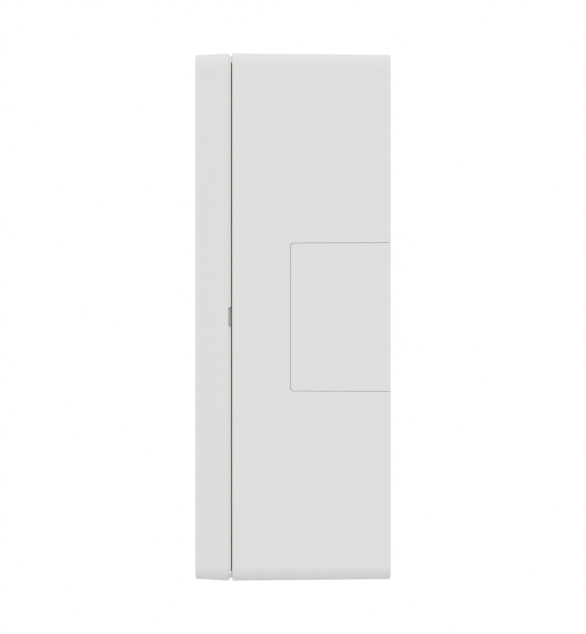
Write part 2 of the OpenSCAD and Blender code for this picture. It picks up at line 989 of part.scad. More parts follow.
// Slots that get shorter towards the top and bottom, so that together they look like a pill
module grille() {
    half_h = speaker_h / 2 - 1.5;
    middle = (speaker_w - speaker_h) / 2;
    for (i = [0 : grille_slots - 1]) {
        z = (i - (grille_slots - 1) / 2) * grille_pitch;
        length = 2 * (middle + sqrt(half_h * half_h - z * z));
        at(0, speaker_z + z)
            thick(front_y - cut, plate_back + cut) pill(length, grille_slot);
    }
}

// Recessed lip behind the skirt
module cover_lip(back) {
    plate(
        body_w - 2 * lip_side_inset, body_h - 2 * lip_end_inset,
        corner_r - lip_end_inset, skirt_back - bond, back
    );
}

module front_cover() {
    stop_depth = upstand_front - 0.15;
    color("#EEEEEA")
        difference() {
            union() {
                difference() {
                    union() {
                        drafted(skirt_taper, 0, front_y, skirt_back);
                        cover_lip(lip_back);
                        intersection() {
                            cover_lip(landing_back);
                            for (z = [-1, 1])
                                at(0, z * body_h / 2)
                                block(body_w, 2 * landing_h, skirt_back - cut, rim_y);
                        }
                    }
                    plate(
                        body_w - 2 * skirt_wall, body_h - 2 * skirt_wall,
                        corner_r - skirt_wall, plate_back, lip_back + cut
                    );
                    both_sides()
                        translate([body_w / 2 - notch_depth, skirt_back, -notch_h / 2])
                        cube([notch_depth + cut, lip_d + cut, notch_h]);
                }
                both_sides()
                    for (z = stop_rib_z)
                        translate([body_w / 2 - skirt_wall - 1.9, plate_back - bond, z - 1])
                            cube([2, stop_depth - plate_back + bond, 2]);
                at(0, speaker_z) pill_ring(duct_w, duct_h, duct_wall, plate_back - bond, duct_back);
                at(tamper_x, side_switch_z) rod(1.6, plate_back - bond, tamper_post_back);
            }
            at(0, camera_z) plate(window_w, window_h, window_r, front_y - cut, front_y + window_d);
            at(0, camera_z)
                plate(
                    window_w - 2 * window_ledge, window_h - 2 * window_ledge,
                    window_r - window_ledge / 2, front_y, plate_back + cut
                );
            at(0, motion_z) plate(motion_w, motion_h, 2, front_y - cut, plate_back + cut);
            at(0, motion_z) plate(motion_w + 3.8, motion_h + 3.8, 2.6, front_y + 1.3, plate_back + cut);
            grille();
            at(0, button_z) rod(ring_outer_r + 0.05, front_y - cut, plate_back + cut);
            at(0, microphone_z) rod(0.6, front_y - cut, plate_back + cut);
            at(0, microphone_z) rod(2.4, plate_back - 0.8, plate_back + cut);
            at(0, status_z) rod(pipe_r + 0.05, front_y - cut, plate_back + cut);
        }
}

module camera_window() {
    slack = 0.05;
    window_back = front_y + window_d;
    color("#0E0F11")
        at(0, camera_z)
        difference() {
            plate(window_w - 2 * slack, window_h - 2 * slack, window_r - slack, front_y, window_back);
            rod(lens_cover_r + slack, front_y - cut, front_y + 1.1);
            rod(lens_cover_r - 1, front_y, window_back + cut);
        }
}

module lens_cover_glass() {
    color("#5A6570")
        at(0, camera_z)
        rod(lens_cover_r, front_y + 0.05, front_y + 1.1);
}

module motion_lens() {
    step_y = front_y + 1.3;
    color("#F4F4F0")
        at(0, motion_z) {
            plate(motion_w - 0.2, motion_h - 0.2, 1.9, front_y, step_y + bond);
            plate(motion_w + 3.4, motion_h + 3.4, 2.4, step_y, plate_back - 0.2);
        }
}

module speaker_mesh() {
    color("#3C3E40")
        at(0, speaker_z)
        thick(plate_back, plate_back + mesh_t)
        pill(duct_w - 2 * duct_wall - mesh_slack, duct_h - 2 * duct_wall - mesh_slack);
}

module light_ring() {
    color("#F7F7F2")
        at(0, button_z) {
            tube(ring_outer_r, ring_inner_r, front_y, plate_back + bond);
            tube(ring_skirt_r, ring_inner_r, plate_back, ring_shoulder);
            tube(ring_skirt_r, ring_bore_r, ring_shoulder - bond, ring_back);
        }
}

module button_retainer() {
    color("#D9D9D5")
        at(0, button_z)
        tube(ring_bore_r - 0.05, retainer_hole_r, retainer_front, retainer_back);
}

module return_pad() {
    skin = 0.7;
    inner_r = post_r + 0.7;
    crown = -flange_back;
    base = -retainer_front;
    color("#C9CBC6")
        at(0, button_z)
        rotate([90, 0, 0])
        rotate_extrude()
        polygon([
            [inner_r, crown], [collar_r, crown], [12, base + skin], [15, base + skin],
            [15, base], [11, base], [collar_r - 0.6, crown - skin], [inner_r, crown - skin]
        ]);
}

module microphone_membrane() {
    color("#E8E8E4")
        at(0, microphone_z)
        rod(2.3, plate_back - 0.8, plate_back - 0.5);
}

module status_light_pipe() {
    color("#F2F6F8")
        at(0, status_z) {
            rod(pipe_r, front_y, board_front - lamp_d - 0.6);
            rod(2.2, plate_back, plate_back + 1);
        }
}

// Generic bell sign: knob, dome, flared skirt, rim and clapper
module bell_outline() {
    translate([0, 4.9]) circle(0.9);
    translate([0, 1.2]) circle(3.4);
    polygon([[-3.4, 1.4], [-3.4, -1], [-4.9, -2.9], [4.9, -2.9], [3.4, -1], [3.4, 1.4]]);
    translate([-5.2, -3.9]) square([10.4, 1.1]);
    translate([0, -4.6]) circle(1.3);
}

module button_cap() {
    cap_inner_r = button_r - cap_wall;
    color("#F0F0EC")
        at(0, button_z)
        difference() {
            union() {
                rod(button_r, button_front, cap_back);
                tube(button_r, cap_inner_r, cap_back - bond, flange_back);
                tube(flange_r, cap_inner_r, flange_front, flange_back);
                rod(post_r, cap_back - bond, post_back);
                rod(collar_r, flange_front, flange_back);
                for (turn = [0, 90])
                    rotate([0, turn, 0])
                        block(2 * cap_inner_r + 0.4, rib_t, cap_back - bond, flange_back);
            }
            translate([0, button_front + button_dish - dish_sphere_r, 0])
                rotate([90, 0, 0])
                sphere(dish_sphere_r, $fn = dish_fn);
            thick(button_front - cut, icon_front + icon_d) bell_outline();
        }
}

module button_icon() {
    color("#6B7076")
        at(0, button_z)
        thick(icon_front, icon_front + icon_d)
        bell_outline();
}

module call_switch_stem() {
    color("#3B3D40")
        at(0, button_z) push_stem();
}

module reset_button() {
    color("#C8553D")
        at(reset_x, side_switch_z) push_stem();
}

module tamper_plunger() {
    color("#C9C7BE")
        at(tamper_x, side_switch_z)
        rod(tamper_stem_r, tamper_front - tamper_out, tamper_front + tamper_in);
}

// A side entry cover as it sits on the right: flush plate with a stepped plug behind it
module entry_cover() {
    plug_slack = 0.3;
    skin_slack = 0.05;
    intersection() {
        drafted(0, housing_draft, rim_y, 0);
        sideways(entry_skin_x + skin_slack, body_w / 2 + cut)
            side_entry_outline(side_entry_seam, -0.1);
    }
    side_entry_window(plug_slack, cavity_w / 2, entry_skin_x + skin_slack + bond);
}

module entry_cover_right() {
    color("#ECECE8") entry_cover();
}

module entry_cover_left() {
    color("#ECECE8") mirror([1, 0, 0]) entry_cover();
}

rear_housing();
wall_gasket();
cable_grommet();
cover_gasket();
retaining_clips();
carrier_frame();
carrier_screws();
battery_cradle();
battery_cells();
battery_contacts();
battery_leads();
power_board();
board_screws();
terminal_block();
terminal_screws();
power_transformer();
bulk_capacitors();
chime_relay();
power_leads();
main_board();
processor_shield();
board_chips();
wireless_module();
board_connectors();
image_sensor_board();
camera_holder();
lens_barrel();
lens_elements();
camera_flex();
infrared_board();
infrared_leds();
light_sensor();
motion_sensor();
speaker_basket();
speaker_magnet();
speaker_cone();
speaker_gasket();
microphone();
microphone_boot();
switch_bodies();
tamper_switch_body();
indicator_leds();
front_cover();
camera_window();
lens_cover_glass();
motion_lens();
speaker_mesh();
light_ring();
button_retainer();
return_pad();
microphone_membrane();
status_light_pipe();
button_cap();
button_icon();
call_switch_stem();
tamper_plunger();
reset_button();
entry_cover_right();
entry_cover_left();
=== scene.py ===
import json
import math
import random

import bmesh
import bpy
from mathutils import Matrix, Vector


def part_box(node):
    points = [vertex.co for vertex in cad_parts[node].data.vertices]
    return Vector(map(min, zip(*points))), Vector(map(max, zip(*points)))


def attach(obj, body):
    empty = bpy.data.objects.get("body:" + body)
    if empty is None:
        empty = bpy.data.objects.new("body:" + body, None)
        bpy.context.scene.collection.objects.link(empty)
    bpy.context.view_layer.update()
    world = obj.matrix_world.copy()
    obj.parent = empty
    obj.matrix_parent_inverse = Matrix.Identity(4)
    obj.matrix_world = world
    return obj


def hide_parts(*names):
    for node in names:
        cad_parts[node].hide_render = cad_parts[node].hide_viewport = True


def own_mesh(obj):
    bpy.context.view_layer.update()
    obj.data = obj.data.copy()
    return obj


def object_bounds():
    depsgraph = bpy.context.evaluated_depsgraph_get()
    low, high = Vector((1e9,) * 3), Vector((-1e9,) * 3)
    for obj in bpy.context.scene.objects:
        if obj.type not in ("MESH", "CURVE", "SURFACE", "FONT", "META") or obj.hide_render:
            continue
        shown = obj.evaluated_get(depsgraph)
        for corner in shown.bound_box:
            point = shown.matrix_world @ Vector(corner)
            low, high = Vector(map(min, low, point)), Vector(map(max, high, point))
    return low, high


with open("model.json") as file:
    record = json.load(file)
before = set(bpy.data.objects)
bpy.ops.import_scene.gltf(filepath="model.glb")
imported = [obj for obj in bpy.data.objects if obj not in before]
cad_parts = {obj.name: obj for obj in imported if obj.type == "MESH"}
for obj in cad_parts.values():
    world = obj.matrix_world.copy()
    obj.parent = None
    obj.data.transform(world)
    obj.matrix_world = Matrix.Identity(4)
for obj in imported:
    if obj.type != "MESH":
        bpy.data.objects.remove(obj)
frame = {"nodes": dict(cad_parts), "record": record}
cad_low, cad_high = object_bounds()
nodes = frame["nodes"]

MM = 0.001
ON_AXIS = 0.001             # nearest that a turned outline comes to its axis, in mm


# -------- materials

def node_of(tree, kind, inputs=None, **settings):
    """Adds one shader node, with its settings and the values or links of its inputs."""
    made = tree.nodes.new(kind)
    for key, value in settings.items():
        setattr(made, key, value)
    for key, value in (inputs or {}).items():
        if isinstance(value, bpy.types.NodeSocket):
            tree.links.new(value, made.inputs[key])
        else:
            made.inputs[key].default_value = value
    return made


def tinted(colour, factor):
    return (*[min(1.0, c * factor) for c in colour], 1.0)


def object_coords(tree, stretch=(1, 1, 1)):
    coords = node_of(tree, "ShaderNodeTexCoord")
    mapping = node_of(tree, "ShaderNodeMapping", {"Vector": coords.outputs["Object"], "Scale": stretch})
    return mapping.outputs["Vector"]


def noise(tree, coords, size_mm, detail=3.0):
    made = node_of(tree, "ShaderNodeTexNoise", {
        "Vector": coords, "Scale": 1 / (size_mm * MM), "Detail": detail})
    return made.outputs["Fac"]


def blended(tree, share, first, second):
    mix = node_of(tree, "ShaderNodeMix", data_type="RGBA")
    tree.links.new(share, mix.inputs["Factor"])
    for key, value in ((6, first), (7, second)):
        if isinstance(value, bpy.types.NodeSocket):
            tree.links.new(value, mix.inputs[key])
        else:
            mix.inputs[key].default_value = value
    return mix.outputs[2]


def ranged(tree, value, low, high, source=(0.0, 1.0)):
    made = node_of(tree, "ShaderNodeMapRange", {
        "Value": value, "From Min": source[0], "From Max": source[1], "To Min": low, "To Max": high})
    return made.outputs["Result"]


def bumped(tree, height, depth_mm):
    made = node_of(tree, "ShaderNodeBump", {"Height": height, "Distance": depth_mm * MM, "Strength": 1.0})
    return made.outputs["Normal"]


def surface(name, colour, roughness, drift=(0.04, 14), spread=0.05, grain=(0.4, 0.006), stretch=(1, 1, 1),
            **shader_values):
    """A moulded, rolled or coated surface, with slow colour drift (share, then size in mm), a spread of its
    roughness and fine grain (size, then depth in mm). Other values go to the shader."""
    drift_share, drift_mm = drift
    grain_mm, grain_depth_mm = grain
    made = bpy.data.materials.new(name)
    made.use_nodes = True
    tree = made.node_tree
    shader = tree.nodes["Principled BSDF"]
    coords = object_coords(tree, stretch)
    colour_out = blended(tree, noise(tree, coords, drift_mm), tinted(colour, 1 - drift_share),
                         tinted(colour, 1 + drift_share))
    tree.links.new(colour_out, shader.inputs["Base Color"])
    patches = noise(tree, coords, drift_mm * 0.35)
    tree.links.new(
        ranged(tree, patches, max(roughness - spread, 0.0), roughness + spread, (0.3, 0.7)),
        shader.inputs["Roughness"])
    fine = noise(tree, coords, grain_mm, 2.0)
    tree.links.new(bumped(tree, fine, grain_depth_mm), shader.inputs["Normal"])
    for key, value in shader_values.items():
        shader.inputs[key.replace("_", " ")].default_value = value
    return made


WHITE = (0.754, 0.761, 0.739)
# Each material's colour, roughness and other values of surface().
LOOKS = {
    "shell_white": (WHITE, 0.5, dict(drift=(0.003, 30), spread=0.03, grain=(0.5, 0.003))),
    "button_white": ((0.80, 0.80, 0.785), 0.34, dict(drift=(0.003, 20), spread=0.02, grain=(0.5, 0.002))),
    "icon_grey": ((0.16, 0.17, 0.18), 0.4, dict(drift=(0.03, 14), grain=(0.4, 0.001))),
    "diffuser": ((0.86, 0.87, 0.86), 0.42, dict(drift=(0.01, 14), grain=(0.4, 0.002), Subsurface_Weight=0.4,
        Subsurface_Scale=0.002, Emission_Color=(0.72, 0.86, 1.0, 1.0), Emission_Strength=0.05)),
    "clear_pipe": ((0.86, 0.91, 0.93), 0.12, dict(drift=(0.01, 14), grain=(0.4, 0.0005),
        Transmission_Weight=0.6, IOR=1.49)),
    "window_black": ((0.006, 0.006, 0.007), 0.035, dict(drift=(0.1, 22), spread=0.012, grain=(9, 0.002),
        IOR=1.49)),
    "cover_glass": ((0.97, 0.985, 0.98), 0.01, dict(drift=(0.002, 14), spread=0.004, grain=(5, 0.0004),
        Transmission_Weight=1.0, IOR=1.45)),
    "lens_glass": ((0.035, 0.03, 0.06), 0.02, dict(drift=(0.05, 3), spread=0.006, grain=(3, 0.0003),
        IOR=1.6, Coat_Weight=1.0, Coat_Roughness=0.02, Coat_IOR=1.6, Coat_Tint=(0.62, 0.55, 1.0, 1.0))),
    "lens_black": ((0.012, 0.012, 0.013), 0.5, dict(drift=(0.1, 14), grain=(0.2, 0.006))),
    "motion_white": ((0.80, 0.80, 0.78), 0.5, dict(drift=(0.01, 5), grain=(0.4, 0.002),
        Subsurface_Weight=0.15, Subsurface_Scale=0.0008)),
    "black_rubber": ((0.02, 0.02, 0.02), 0.72, dict(drift=(0.12, 14), grain=(0.25, 0.012))),
    "silicone": ((0.55, 0.56, 0.53), 0.55, dict(drift=(0.03, 4), Subsurface_Weight=0.3,
        Subsurface_Scale=0.002)),
    "spring_steel": ((0.56, 0.56, 0.57), 0.3, dict(drift=(0.08, 3), spread=0.08, grain=(0.12, 0.002),
        stretch=(1, 0.05, 1), Metallic=1.0)),
    "screw_steel": ((0.66, 0.66, 0.64), 0.26, dict(drift=(0.08, 1.2), spread=0.07, grain=(0.15, 0.002),
        Metallic=1.0)),
    "frame_grey": ((0.045, 0.048, 0.052), 0.55, dict(drift=(0.06, 14), grain=(0.3, 0.008))),
    "cell_blue": ((0.035, 0.13, 0.36), 0.24, dict(drift=(0.05, 8), grain=(3, 0.012))),
    "nickel": ((0.64, 0.62, 0.58), 0.24, dict(drift=(0.06, 2), spread=0.06, grain=(0.2, 0.002),
        Metallic=1.0)),
    "wire_sleeve": ((0.42, 0.02, 0.02), 0.42, dict(drift=(0.05, 3), grain=(0.5, 0.006))),
    "board_green": ((0.012, 0.12, 0.055), 0.3, dict(drift=(0.16, 5), grain=(0.5, 0.006), Coat_Weight=0.35,
        Coat_Roughness=0.18)),
    "board_black": ((0.014, 0.015, 0.017), 0.32, dict(drift=(0.12, 4), Coat_Weight=0.3, Coat_Roughness=0.2)),
    "terminal_green": ((0.02, 0.25, 0.10), 0.45, dict(drift=(0.05, 6))),
    "ferrite": ((0.05, 0.048, 0.046), 0.6, dict(drift=(0.2, 1.5), grain=(0.3, 0.02))),
    "capacitor_sleeve": ((0.02, 0.025, 0.05), 0.26, dict(drift=(0.08, 5), grain=(2, 0.01))),
    "relay_blue": ((0.025, 0.12, 0.34), 0.32, dict(drift=(0.04, 7))),
    "tinned_steel": ((0.62, 0.62, 0.61), 0.28, dict(drift=(0.06, 4), spread=0.09, grain=(0.3, 0.002),
        stretch=(0.2, 1, 1), Metallic=1.0)),
    "chip_black": ((0.017, 0.017, 0.018), 0.55, dict(drift=(0.12, 1.5), grain=(0.12, 0.006))),
    "connector_cream": ((0.74, 0.71, 0.60), 0.42, dict(drift=(0.03, 3))),
    "flex_amber": ((0.45, 0.19, 0.03), 0.25, dict(drift=(0.08, 2))),
    "infrared_led": ((0.05, 0.03, 0.07), 0.06, dict(drift=(0.06, 1.5), grain=(0.4, 0.001), Coat_Weight=0.5,
        Coat_Roughness=0.04)),
    "sensor_cream": ((0.72, 0.68, 0.50), 0.3, dict(drift=(0.05, 1))),
    "sensor_can": ((0.64, 0.63, 0.61), 0.2, dict(drift=(0.05, 2), spread=0.06, grain=(0.3, 0.001),
        Metallic=1.0)),
    "speaker_black": ((0.022, 0.022, 0.024), 0.45, dict(drift=(0.08, 5))),
    "magnet_steel": ((0.42, 0.42, 0.43), 0.34, dict(drift=(0.08, 3), Metallic=1.0)),
    "speaker_cone_grey": ((0.05, 0.05, 0.054), 0.38, dict(drift=(0.06, 4))),
    "mesh_black": ((0.02, 0.02, 0.021), 0.6, dict(drift=(0.15, 0.8), grain=(0.1, 0.006))),
    "gold_plate": ((0.80, 0.56, 0.22), 0.26, dict(drift=(0.05, 0.8), Metallic=1.0)),
    "membrane_white": ((0.76, 0.76, 0.74), 0.8, dict(drift=(0.04, 0.6), grain=(0.08, 0.01))),
    "stem_grey": ((0.06, 0.06, 0.066), 0.45, dict(drift=(0.05, 2))),
    "plunger_cream": ((0.60, 0.57, 0.50), 0.42, dict(drift=(0.04, 2))),
    "reset_orange": ((0.56, 0.12, 0.03), 0.42, dict(drift=(0.04, 2))),
    "track_green": ((0.03, 0.2, 0.09), 0.26, dict(drift=(0.1, 4), Coat_Weight=0.35, Coat_Roughness=0.18)),
    "print_white": ((0.72, 0.73, 0.70), 0.7, dict(drift=(0.04, 1), grain=(0.08, 0.006))),
    "ceramic_tan": ((0.38, 0.24, 0.13), 0.5, dict(drift=(0.08, 1))),
    "phosphor_yellow": ((0.80, 0.62, 0.06), 0.4, dict(drift=(0.05, 0.6), Subsurface_Weight=0.3,
        Subsurface_Scale=0.0006)),
}
MATERIALS = {name: surface(name, *look, **more) for name, (*look, more) in LOOKS.items()}
SLOT_OF = {row["node"]: row["material_slot"] for row in frame["record"]["subparts"]}


def placed(name, data):
    """A new object in the scene."""
    obj = bpy.data.objects.new(name, data)
    bpy.context.scene.collection.objects.link(obj)
    return obj


# -------- CAD nodes that stay

EDGE_MM = {
    "rear_housing": 0.05, "front_cover": 0.06, "entry_cover_right": 0.03, "entry_cover_left": 0.03,
    "camera_window": 0.12, "button_cap": 0.02, "light_ring": 0.1, "motion_lens": 0.12,
    "carrier_frame": 0.25, "battery_cradle": 0.25, "chime_relay": 0.3, "processor_shield": 0.2,
    "retaining_clips": 0.09, "speaker_mesh": 0.03, "camera_flex": 0.04, "board_chips": 0.08,
    "cover_gasket": 0.06, "wall_gasket": 0.12, "battery_contacts": 0.08, "button_icon": 0.02,
    "microphone_membrane": 0.05, "speaker_cone": 0.08, "battery_leads": 0, "power_leads": 0,
    "lens_elements": 0.04, "light_sensor": 0.06, "indicator_leds": 0.1, "infrared_leds": 0.06,
}
EDGE_USUAL_MM = 0.12
EDGE_TURN_DEG = 35          # an edge is softened where its faces turn by more than this
FLAT_DEG = {"button_cap": 0.02}
FLAT_USUAL_DEG = 0.4
LIP_BEHIND_MM = 0.27        # the landings' back lies this far behind the rest of the lip
LIP_SIDE_MM = 38.5          # the lip's outer edge is beyond this, its inner edge isn't
BUTTON_FLAT_MM = 16.9       # the button's face reaches this far before its rim
SAME_MM = 0.01              # places nearer than this are the same


def on_lip(spot, low, high):
    """The outer back edge of the front cover's lip, along its sides, where its two landings don't reach."""
    return abs(spot.y - high.y + LIP_BEHIND_MM) < SAME_MM and abs(spot.x) > LIP_SIDE_MM


def on_button_rim(spot, low, high):
    """The rim of the call button's face."""
    middle_z = (low.z + high.z) / 2
    return spot.y < low.y + SAME_MM and math.hypot(spot.x, spot.z - middle_z) > BUTTON_FLAT_MM


# Which vertices of a node have their edges rounded, and the radius in mm.
ROUNDED_EDGES = {"front_cover": (on_lip, 0.32), "button_cap": (on_button_rim, 0.16)}


def round_edges(obj, name):
    """Rounds the edges that ROUNDED_EDGES picks on a CAD node."""
    picked, radius_mm = ROUNDED_EDGES[name]
    low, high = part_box(name)
    group = obj.vertex_groups.new(name="rounded_edge")
    spots = [(v.index, v.co / MM) for v in obj.data.vertices]
    group.add([i for i, spot in spots if picked(spot, low / MM, high / MM)], 1.0, "REPLACE")
    rounding = obj.modifiers.new("rounded_edge", "BEVEL")
    rounding.width = radius_mm * MM
    rounding.segments = 4
    rounding.limit_method = "VGROUP"
    rounding.vertex_group = group.name


def soften_edges(obj, width_mm, turn_deg):
    """Bevels the edges whose faces turn by more than an angle."""
    bevel = obj.modifiers.new("soft_edges", "BEVEL")
    bevel.width = width_mm * MM
    bevel.segments = 2
    bevel.limit_method = "ANGLE"
    bevel.angle_limit = math.radians(turn_deg)
    return bevel


def finish_cad_node(name):
    """Gives a CAD node its material, soft edges and even shading, without touching its mesh."""
    obj = nodes[name]
    obj.data.materials.clear()
    obj.data.materials.append(MATERIALS[SLOT_OF[name]])
    obj.data.polygons.foreach_set("use_smooth", [True] * len(obj.data.polygons))
    weld = obj.modifiers.new("join_seams", "WELD")
    weld.merge_threshold = 1e-6
    flat = obj.modifiers.new("join_flat_faces", "DECIMATE")
    flat.decimate_type = "DISSOLVE"
    flat.angle_limit = math.radians(FLAT_DEG.get(name, FLAT_USUAL_DEG))
    if name in ROUNDED_EDGES:
        round_edges(obj, name)
    width = EDGE_MM.get(name, EDGE_USUAL_MM)
    if width:
        soften_edges(obj, width, EDGE_TURN_DEG).use_clamp_overlap = False
    shade = obj.modifiers.new("even_shading", "WEIGHTED_NORMAL")
    shade.mode = "FACE_AREA"
    shade.weight = 80


for node_name in nodes:
    finish_cad_node(node_name)


# -------- building pieces, in millimetres

BODY_OF = {node: body for body, members in frame["record"]["behaviour"]["bodies"].items() for node in members}
BOARD_BODY = BODY_OF["main_board"]


def box_mm(name):
    low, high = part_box(name)
    return low / MM, high / MM


def middle(box):
    """The (x, z) middle of a box, given as its low and high corners."""
    return (box[0].x + box[1].x) / 2, (box[0].z + box[1].z) / 2


def solids_mm(name):
    """The box of each separate solid of a CAD node, from left to right and then upwards."""
    shape = bmesh.new()
    shape.from_mesh(nodes[name].data)
    bmesh.ops.remove_doubles(shape, verts=shape.verts, dist=1e-6)
    left = set(shape.verts)
    found = []
    while left:
        stack = [left.pop()]
        group = []
        while stack:
            vert = stack.pop()
            group.append(vert.co.copy())
            for edge in vert.link_edges:
                other = edge.other_vert(vert)
                if other in left:
                    left.remove(other)
                    stack.append(other)
        low = Vector([min(p[i] for p in group) for i in range(3)]) / MM
        high = Vector([max(p[i] for p in group) for i in range(3)]) / MM
        found.append((low, high))
    shape.free()
    return sorted(found, key=lambda b: (round(b[0].x, 2), round(b[0].z, 2), b[0].y))


def rectangle(half_u, half_v):
    return [(-half_u, -half_v), (half_u, -half_v), (half_u, half_v), (-half_u, half_v)]


def rounded(corners, radius, steps=4):
    """A closed outline whose corners are replaced by arcs, as far as its sides leave room."""
    outline = []
    count = len(corners)
    for i, corner in enumerate(corners):
        here = Vector(corner)
        before = Vector(corners[i - 1]) - here
        after = Vector(corners[(i + 1) % count]) - here
        reach = min(radius, 0.45 * before.length, 0.45 * after.length)
        start = here + before.normalized() * reach
        end = here + after.normalized() * reach
        for k in range(steps + 1):
            t = k / steps
            outline.append(tuple((1 - t) ** 2 * start + 2 * t * (1 - t) * here + t ** 2 * end))
    return outline


def smooth_line(points):
    """Points on a smooth curve through the given ones."""
    steps = 6
    line = []
    for i in range(len(points) - 1):
        p1, p2 = Vector(points[i]), Vector(points[i + 1])
        p0 = Vector(points[i - 1]) if i else 2 * p1 - p2
        p3 = Vector(points[i + 2]) if i + 2 < len(points) else 2 * p2 - p1
        for k in range(steps):
            t = k / steps
            line.append(0.5 * (2 * p1 + (p2 - p0) * t + (2 * p0 - 5 * p1 + 4 * p2 - p3) * t * t
                               + (3 * p1 - p0 - 3 * p2 + p3) * t ** 3))
    line.append(Vector(points[-1]))
    return line


def pill_rings(centre, width, height, profile):
    """A rectangle with round ends for each (offset, y) of a profile, shrunk by the offset."""
    steps = 16
    reach = (width - height) / 2
    rings = []
    for offset, y in profile:
        radius = max(height / 2 - offset, 0.0)
        angles = [math.pi * k / steps - math.pi / 2 for k in range(steps + 1)]
        rings.append([(centre[0] + side * (reach + radius * math.cos(angle)), y,
                       centre[1] + side * radius * math.sin(angle)) for side in (1, -1) for angle in angles])
    return rings


class Shape:
    """The vertices and faces of one piece, in millimetres."""

    def __init__(self):
        self.points = []
        self.faces = []

    def add(self, points, faces):
        base = len(self.points)
        self.points += [tuple(p) for p in points]
        self.faces += [[base + i for i in face] for face in faces]

    def box(self, low, high):
        corners = [(x, y, z) for x in (low[0], high[0]) for y in (low[1], high[1])
                   for z in (low[2], high[2])]
        self.add(corners, [
            (0, 1, 3, 2), (4, 6, 7, 5), (0, 4, 5, 1), (2, 3, 7, 6), (0, 2, 6, 4), (1, 5, 7, 3)])

    def rings(self, rings, closed_loop=False):
        """Joins equal rings of points with walls, and closes both ends or joins them to each other."""
        size = len(rings[0])
        faces = []
        last = len(rings) if closed_loop else len(rings) - 1
        for i in range(last):
            j = (i + 1) % len(rings)
            for k in range(size):
                n = (k + 1) % size
                faces.append((i * size + k, j * size + k, j * size + n, i * size + n))
        if not closed_loop:
            faces.append(tuple(range(size)))
            faces.append(tuple((len(rings) - 1) * size + k for k in reversed(range(size))))
        self.add([p for ring in rings for p in ring], faces)

    def prism(self, outline, front, back, at):
        """An outline of (x, z) points given a thickness along Y."""
        self.rings([[(x + at[0], y, z + at[1]) for x, z in outline] for y in (front, back)])

    def turned(self, profile, at, steps):
        """A closed outline of (radius, y) points, turned round an axis along Y."""
        rings = []
        for k in range(steps):
            angle = 2 * math.pi * k / steps
            c, s = math.cos(angle), math.sin(angle)
            rings.append([(at[0] + r * c, y, at[1] + r * s) for r, y in profile])
        self.rings(rings, closed_loop=True)

    def washer(self, at, inner, outer, front, back, steps):
        """A flat ring that faces along Y."""
        self.turned([(inner, front), (outer, front), (outer, back), (inner, back)], at, steps)

    def disc(self, at, radius, front, back, steps):
        self.washer(at, ON_AXIS, radius, front, back, steps)

    def swept(self, path, section, across):
        """A closed section of (u, v) points along a path: u lies along across, v square to both."""
        across = Vector(across).normalized()
        rings = []
        for i, point in enumerate(path):
            run = (Vector(path[min(i + 1, len(path) - 1)]) - Vector(path[max(i - 1, 0)])).normalized()
            normal = run.cross(across).normalized()
            rings.append([Vector(point) + u * across + v * normal for u, v in section])
        self.rings(rings)


def publish(shape, name, body, slot, stands_for=(), edge_mm=0.0, material=None, crease=EDGE_TURN_DEG):
    """Makes the piece, gives it its material and body, and hides the CAD nodes that it stands for."""
    mesh = bpy.data.meshes.new(name)
    mesh.from_pydata([tuple(c * MM for c in p) for p in shape.points], [], shape.faces)
    tidy = bmesh.new()
    tidy.from_mesh(mesh)
    bmesh.ops.remove_doubles(tidy, verts=tidy.verts, dist=1e-7)
    bmesh.ops.recalc_face_normals(tidy, faces=tidy.faces)
    tidy.to_mesh(mesh)
    tidy.free()
    mesh.polygons.foreach_set("use_smooth", [True] * len(mesh.polygons))
    mesh.set_sharp_from_angle(angle=math.radians(crease))
    mesh.materials.append(MATERIALS[material or slot])
    obj = placed(name, mesh)
    if edge_mm:
        soften_edges(obj, edge_mm, crease)
    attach(obj, body)
    if stands_for:
        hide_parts(*stands_for)
    return obj


def stand_in(shape, name, node, slot, crease):
    """Publishes a detailed piece in the place of one CAD node."""
    return publish(shape, name, BODY_OF[node], slot, [node], crease=crease)


# -------- camera and lens

